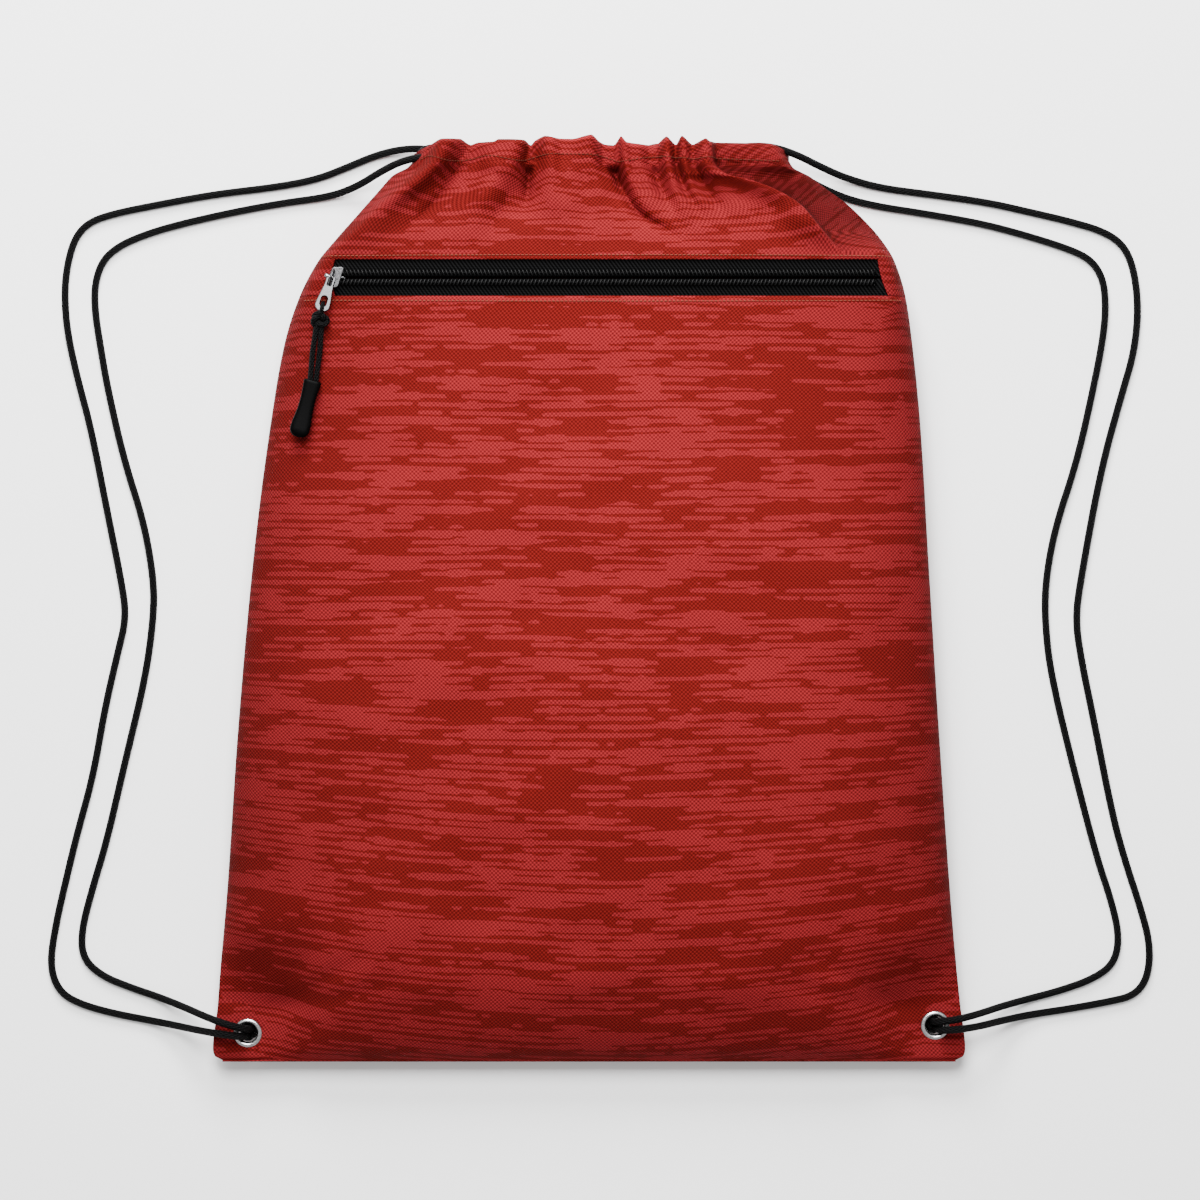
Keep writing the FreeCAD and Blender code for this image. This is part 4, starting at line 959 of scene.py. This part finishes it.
# Unit vectors along the bridge, along the pull tab, which tilts a little, and across both.
LEVEL = np.array([-JOINTS["tab_lift"]["axis"][1], JOINTS["tab_lift"]["axis"][0], 0.0])
TAB_TILT = math.radians(4.0)
TAB_ALONG = LEVEL * math.cos(TAB_TILT) + UP * math.sin(TAB_TILT)
TAB_ASIDE = np.cross(UP, LEVEL)
SLIDER_HALF = 4.9                    # half of the slider's width across the zip
BRIDGE_RADIUS, BRIDGE_WIRE, BRIDGE_FOOT = 3.4, 0.62, 1.3


def slider_parts():
    """Slider: a slanted upper plate with flanges, lower plate, web, and the bridge that holds the tab."""
    (left, _, foot), (right, _, _) = corners("slider")
    near, far, top = ZIP_Y - SLIDER_HALF, ZIP_Y + SLIDER_HALF, TAPE_TOP + 2.5
    slanted = [(left + 0.3, near + 0.1), (right - 3.5, near), (right - 0.2, far - 0.2), (left + 4.2, far)]
    for name, node, outline, thickness, bevel, middle_z in (
            ("upper", "slider", rounded(slanted, 1.3), 1.1, 0.3, top + 0.55),
            ("flange_near", None, box_outline(left + 1.4, right - 4.2, near, near + 0.5, 0.2), 1.4, 0.12,
             top - 0.5),
            ("flange_far", None, box_outline(left + 5, right - 1.4, far - 0.5, far, 0.2), 1.4, 0.12, top - 0.5),
            ("lower", None, box_outline(left + 5.6, right, near, far, 1.2), 1.0, 0.25, foot + 0.5),
            ("web", None, box_outline(left + 5.9, left + 9.5, ZIP_Y - 0.35, ZIP_Y + 0.35, 0.2), top - foot, 0.1,
             (top + foot + 0.9) / 2)):
        plate("slider_" + name, node, [outline], thickness, bevel, (0, 0, middle_z))
    arch = [PIVOT + BRIDGE_RADIUS * (LEVEL * math.cos(t) + UP * math.sin(t))
            for t in np.linspace(0, math.pi, 25)]
    arch = [arch[0] - UP * BRIDGE_FOOT] + arch + [arch[-1] - UP * BRIDGE_FOOT]
    tube("slider_bridge", None, arch, BRIDGE_WIRE, "slider", 14, "slider", sharp=50)


# Half of the tab's outline, along it and out from its middle line.
TAB_OUTLINE = ((-0.7, -2.1), (1.6, -2.2), (3.4, -2.1), (6.5, -2.5), (9.5, -2.95), (12.0, -3.35), (14.4, -3.6),
               (15.9, -2.9), (16.8, -1.5), (17.1, 0.0))
# The crossbar's stations along its axis, and its radius at each.
BAR_STATIONS = (-3.3, -3.1, -2.6, -1.6, -0.6, 0.6, 1.3, 1.6)
BAR_RADII = (0.4, 0.85, 1.02, 0.95, 0.8, 0.8, 0.72, 0.3)


def tab_parts():
    """Pull tab: a bevelled tongue with a crossbar, an eye round the bridge and an oval hole."""
    outline = rounded(TAB_OUTLINE + tuple((x, -y) for x, y in TAB_OUTLINE[-2::-1]), 1.0, 4)
    outlines = [outline, box_outline(0.75, 4.3, -0.95, 0.95, 0.5), oval(10.9, 13.1, 1.5)]
    plate("tab_plate", "pull_tab", outlines, 1.2, 0.32, PIVOT, "pull_tab", (TAB_ALONG, TAB_ASIDE))
    bar = [PIVOT + TAB_ASIDE * place + TAB_ALONG * 0.05 for place in BAR_STATIONS]
    # The crossbar takes the brighter plating: a painted highlight.
    tube("tab_crossbar", None, bar, BAR_RADII, "painted_highlight", 14, "pull_tab")


def wound_knot(name, node, radius, sides, body, steps, ring, axes, stretch):
    """A knot wound round the middle of a CAD node: ring is its radius and how far that swings in and out."""
    wound = []
    for t in circle(steps):
        reach = ring[0] + ring[1] * math.cos(3 * t)
        x, y, z = reach * math.cos(2 * t), reach * math.sin(2 * t), math.sin(3 * t)
        wound.append(middle(node) + axes[0] * x * stretch[0] + axes[1] * y * stretch[1] + UP * z * stretch[2])
    return tube(name, node, wound, radius, "braid", sides, body=body, closed=True)


PULL_RADIUS, PULL_SIDES = 1.3, 10


def pull_cord_parts():
    """The thin cord through the tab's hole, its knot, its two strands and the moulded grip."""
    knot_at = middle("pull_knot")
    grip_low, grip_high = corners("pull_grip")
    grip_z = (grip_low[2] + grip_high[2]) / 2
    grip_top = np.array([grip_high[0] - 3.5, grip_high[1] - 2.2, grip_z])
    grip_end = np.array([grip_low[0] + 3.4, grip_low[1] - 0.8, grip_z])
    down = unit(knot_at - SWING)
    side = np.cross(UP, down)
    # The loop: from the knot, down through the tab's hole and back; along down, along side and up.
    loop = [knot_at + side * 0.8 - down * 1.0 + UP * 0.6]
    loop += [SWING + down * along + UP * up for along, up in (
        (4.6, 2.4), (1.6, 2.6), (0, 0.9), (0, -0.9), (1.6, -2.4), (4.6, -2.2))]
    loop += [knot_at - side * 0.8 - down * 1.0 - UP * 0.6]
    line = resample(nurbs_points(np.array(loop) * MM) / MM, 0.4)
    tube("pull_loop", None, line, 0.95, "braid", PULL_SIDES, body="pull")
    wound_knot("pull_knot_wound", "pull_knot", PULL_RADIUS, PULL_SIDES, "pull", 120, (2.35, 0.95),
               (side, down), (1.08, 0.95, 1.35))
    strand = unit(grip_top - knot_at)
    aside = np.cross(UP, strand)
    for name, node, sign in (("pull_strand_1", "pull_cord", -1), ("pull_strand_2", None, 1)):
        line = [start + aside * sign * out + strand * along + UP * up for start, out, along, up in (
            (knot_at, 1.2, 1, 0), (knot_at, 1.3, 7, 0.3), (knot_at, 1.75, 15, 0), (grip_top, 1.4, -4, 0),
            (grip_top, 1.3, 2, 0))]
        line = resample(nurbs_points(np.array(line) * MM) / MM, 0.6)
        tube(name, node, line, PULL_RADIUS, "braid", PULL_SIDES, body="pull")
    moulded_grip(grip_top, grip_end)


def moulded_grip(start, end):
    """A moulded tongue with a rounded end, a waist, finger ribs and a collar at the cord's entry."""
    along = unit(end - start)
    aside = np.cross(UP, along)
    total = np.linalg.norm(end - start) + 2.6
    rows, sides = 72, 28
    verts = []
    for s in np.linspace(0, 1, rows):
        cap = math.sqrt(max(0.0, 1 - max(0.0, (s - 0.84) / 0.16) ** 2.4))
        nose = math.sqrt(max(0.0, 1 - max(0.0, (0.05 - s) / 0.05) ** 2)) * 0.25 + 0.75
        half = 4.35 - 0.75 * math.sin(math.pi * min(s / 0.75, 1.0)) + 0.35 * step(0.5, 0.9, s)
        half *= max(cap, 0.02) * nose
        thick = (2.35 - 0.25 * math.sin(math.pi * s)) * max(cap ** 0.8, 0.02) * nose
        rib = 0.3 * (0.5 + 0.5 * math.cos(TURN * (s - 0.4) / 0.07))
        rib *= step(0.36, 0.42, s) * step(0.8, 0.74, s)
        for t in circle(sides):
            c, d = math.cos(t), math.sin(t)
            px = math.copysign(abs(c) ** 0.55, c) * half + (rib if c > 0.75 else 0.0)
            pz = math.copysign(abs(d) ** 0.55, d) * thick
            verts.append(start + along * total * s + aside * px + UP * pz)
    faces = grid_faces(rows, sides, wrap=True) + caps(rows, sides)
    mesh_piece("grip_moulded", "pull_grip", verts, faces, "grip", "pull")


# ---- drawcords

CORD_DIAMETER = 0.0035
FLOOR = 1.8              # height of a cord's axis where it lies on the floor
CASING_HALF = 72         # the cords run inside the casings nearer the middle than this
# How far each cord lies below its tube in the front and in the back casing, so that both stay covered.
CASING_DROPS = {"left": (1.2, 2.7), "right": (2.0, 1.2)}
# Route points in millimetres. Those with two numbers lie on the floor.
LEFT_ROUTE = [
    (-163, -207.4, 6), (-163.1, -207.3, 13), (-164.8, -207, 18.6), (-172, -206, 20.5), (-184, -204.4, 17),
    (-195, -203, 7.5), (-207.5, -201, 1.9), (-226.8, -197.4), (-242.9, -192.9), (-252.8, -187),
    (-257.3, -174.5), (-254.4, -155), (-249.5, -133.7), (-244.3, -112), (-236.5, -84), (-231, -52), (-225, -26),
    (-220.6, -8), (-223.4, 10.5), (-229.8, 41.9), (-237.6, 82), (-243.9, 105), (-249, 128), (-250.3, 147),
    (-248.6, 161.5), (-245, 173), (-238.5, 180), (-227, 184), (-206.4, 188.2), (-178, 193.4), (-150, 196.6),
    (-130, 200.3), (-115, 206.3), (-102, 211.8, 1.9), (-90, 214.6, 3.6), (-78, 214.9, 5.2), (-62, 214.5, 5.6),
    (-34, 214.7, 5.5), (0, 214.9, 5.4), (32, 214.7, 5.5), (54, 214.4, 5.5), (67, 214.2, 5.5),
    (78.7, 213.8, 5.5), (85.5, 212.2, 12.2), (85.5, 210.2, 21.8), (78.7, 208.9, 28.5), (64.5, 208.8, 28.5),
    (44, 209.2, 28.6), (14, 209.5, 28.5), (-18, 209.6, 28.5), (-46, 209.3, 28.5), (-62, 208.9, 28.5),
    (-76, 209.2, 28.2), (-88, 207.6, 23), (-99, 203, 14), (-110.5, 196.6, 5.5), (-124, 192, 1.9),
    (-146.3, 189.1), (-172, 184.3), (-198.4, 178.2), (-213, 173.6), (-224.5, 168.5), (-232.3, 161.5),
    (-235.9, 150), (-235.6, 137), (-233.4, 122.8), (-229.8, 101.5), (-221.8, 66.5), (-212.2, 36.7), (-207.4, 8),
    (-208, -11), (-211.8, -38), (-221.5, -78), (-230, -115), (-237, -138), (-242.2, -158), (-241.5, -171),
    (-232.5, -179.5), (-218.2, -185.2), (-205, -189.6, 1.9), (-192.5, -194, 7.5), (-181.5, -197.8, 17.2),
    (-171.5, -201.2, 20.6), (-163.4, -203.3, 18.8), (-161.1, -204, 13), (-161, -204.1, 6)]
RIGHT_ROUTE = [
    (165.2, -203.8, 6), (165.3, -203.9, 13), (167, -204, 18.8), (174.2, -203.6, 20.6), (185.2, -202.2, 17.2),
    (196.5, -200.3, 7.5), (210.2, -197.9, 1.9), (228.2, -195.3), (246.6, -192), (260, -189), (266.6, -180),
    (267.6, -164), (262.7, -146), (255.6, -124.5), (249.6, -103), (240.3, -55.6), (234.6, -28.2), (231.9, -9),
    (234.5, 10), (244, 61.8), (253.8, 97.3), (260, 118.1), (262, 139), (259.8, 157.9), (255, 169),
    (245.5, 175.6), (229.1, 180.4), (211.1, 184.6), (190, 189.4), (162.8, 193.2), (139, 196.2), (122, 201, 3),
    (109.5, 206, 9.5), (98, 210.9, 18.5), (86, 214, 26.4), (74, 213.9, 28.4), (58, 213.5, 28.5),
    (30, 213.8, 28.5), (-2, 213.9, 28.6), (-32, 213.8, 28.5), (-50, 213.7, 28.5), (-61, 213.8, 28.5),
    (-72.7, 213.6, 28.5), (-79.5, 212.4, 21.8), (-79.5, 211, 12.2), (-72.7, 209.8, 5.5), (-58, 209.5, 5.5),
    (-34, 209.6, 5.4), (4, 209.8, 5.5), (40, 209.6, 5.5), (62, 209.3, 5.5), (76, 209.2, 5.3), (88, 207.6, 3.9),
    (99, 203.2, 2.1), (110, 196.8), (123.1, 191), (138.7, 187.3), (158.1, 184.4), (187, 179.4), (208, 173.8),
    (229, 167.2), (239.6, 162), (245.2, 153), (246.4, 140), (245.4, 127), (242, 108), (232.9, 66.5),
    (222.3, 34.8), (217.6, 9), (217.4, -11), (220.2, -36), (231.8, -83.6), (242.4, -124), (248.6, -142),
    (252.9, -160), (250.6, -173.4), (240.5, -180.9), (224, -186.7), (208.3, -190.7, 1.9), (196, -193.6, 7.5),
    (185, -196.3, 17.2), (174, -198.9, 20.6), (165.9, -199.9, 18.9), (163.5, -200.3, 13), (163.4, -200.4, 6)]


def drawcords():
    for side, route in (("left", LEFT_ROUTE), ("right", RIGHT_ROUTE)):
        front_drop, back_drop = CASING_DROPS[side]
        points = []
        for x, y, z in ((*point, FLOOR)[:3] for point in route):
            inside = abs(x) < CASING_HALF
            points.append((x, y - inside * (front_drop if z > 24 else back_drop if z < 8 else 0), z))
        line = resample(nurbs_points(np.array(points) * MM), 0.0011)
        node = "drawcord_" + side
        cord = tube(node + "_braid", node, line / MM, CORD_DIAMETER / 2 / MM, "braid", 14)
        knot = wound_knot("end_knot_" + side, "cord_knot_" + side, 1.6, 12, "bag", 110, (2.1, 0.85), np.eye(3),
                          (1.02, 1.02, 2.0))


# ---- eyelets

EYELET_RADIUS, BORE_RADIUS, BARREL_RADIUS = 7.0, 4.42, 5.0


def turned(name, node, centre, profile):
    """A metal ring turned about the vertical axis through centre, from a closed (radius, z) profile."""
    sides = 64
    verts = [(centre[0] + radius * math.cos(t), centre[1] + radius * math.sin(t), z)
             for radius, z in profile for t in circle(sides)]
    faces = grid_faces(len(profile), sides, wrap=True, close=True)
    mesh_piece(name, node, verts, faces, "ring", sharp=40)


def eyelets():
    for side, centre in EYELETS.items():
        low, high = corners("eyelet_" + side)[:, 2]
        brim = high - 1.2
        lip = [(EYELET_RADIUS, brim), (EYELET_RADIUS - 0.05, brim + 0.3)]
        for angle in np.linspace(0.25, math.pi * 0.97, 12):
            lip.append((5.72 + 1.28 * math.cos(angle), brim + 0.1 + 1.12 * math.sin(angle)))
        barrel = [(BORE_RADIUS, brim - 0.4), (BORE_RADIUS, low + 0.4), (4.55, low + 0.1),
                  (BARREL_RADIUS, low + 0.1), (BARREL_RADIUS, brim)]
        turned("eyelet_ring_" + side, "eyelet_" + side, centre, lip + barrel)
        foot, top = corners("washer_" + side)[:, 2]
        turned("washer_ring_" + side, "washer_" + side, centre, [
            (5.02, top), (5.02, foot + 0.3), (5.4, foot), (6.5, foot + 0.2), (EYELET_RADIUS, top - 0.25),
            (EYELET_RADIUS, top)])


# ---- stage

def stage():
    mesh = bpy.data.meshes.new("floor")
    mesh.from_pydata([(-6, -6, 0), (6, -6, 0), (6, 6, 0), (-6, 6, 0)], [], [(0, 1, 2, 3)])
    floor = linked("floor", mesh)
    mesh.materials.append(Nodes("pale_floor").finish((0.93, 0.93, 0.93), 0.9, 0.1))
    world = bpy.data.worlds.new("studio")
    bpy.context.scene.world = world
    world.use_nodes = True
    background = world.node_tree.nodes["Background"]
    background.inputs["Color"].default_value = (1, 1, 1, 1)
    background.inputs["Strength"].default_value = 0.75
    for name, place, size, power in (
            ("key", (-0.2, 1.3, 0.85), 0.6, 62), ("softbox", (-0.05, 0.75, 1.6), 0.8, 66)):
        light = bpy.data.lights.new(name, "AREA")
        light.size = size
        light.energy = power
        lamp = linked(name, light)
        lamp.location = place
        lamp.rotation_euler = (-Vector(place)).to_track_quat("-Z", "Y").to_euler()


def camera():
    """A camera straight above; the view is view_width wide at view_z."""
    height, view_width, view_z = 2.4, 0.568, 0.02
    data = bpy.data.cameras.new("camera")
    data.sensor_width = 36
    data.lens = data.sensor_width * (height - view_z) / view_width
    data.clip_end = 20
    item = linked("camera", data)
    item.location = (0.0052, -0.0002, height)
    bpy.context.scene.camera = item


# ---- build

# Rows of stitches, as (x, y) places that each one passes.
STITCH_ABOVE_ZIP = ((-126.5, 161.4), (-60, 161.9), (0, 162), (80, 161.9), (142, 161.4))
STITCH_BELOW_ZIP = ((-134, 140.6), (0, 140.2), (80, 140.3), (147, 140.6))
CASING_STITCH = ((-80, 207), (-76, 208.6), (-66, 206.4), (-58, 206.9), (-48, 208.8), (-33, 206.4), (-23, 208.8),
                 (-14, 209.4), (5, 208.9), (15, 206.2), (31, 208.4), (43, 207.6), (50, 207), (57, 207.6),
                 (90, 206.6))

camera()
drawcords()
pocket, pocket_points = pocket_panel()
yoke_panel, yoke_points, hem = yoke()
wall = back_wall()
back_casing()
zip_tabs()
pocket_back = lining()
zip_tapes()
zip_coils()
pull_cord_parts()
eyelets()
slider_parts()
tab_parts()
stitches("topstitch_above_zip", surface_line(yoke_points, STITCH_ABOVE_ZIP), "thread")
stitches("topstitch_below_zip", surface_line(pocket_points, STITCH_BELOW_ZIP), "thread")
stitches("casing_stitch", surface_line(yoke_points, CASING_STITCH, 0.15), "red_thread")

stage()
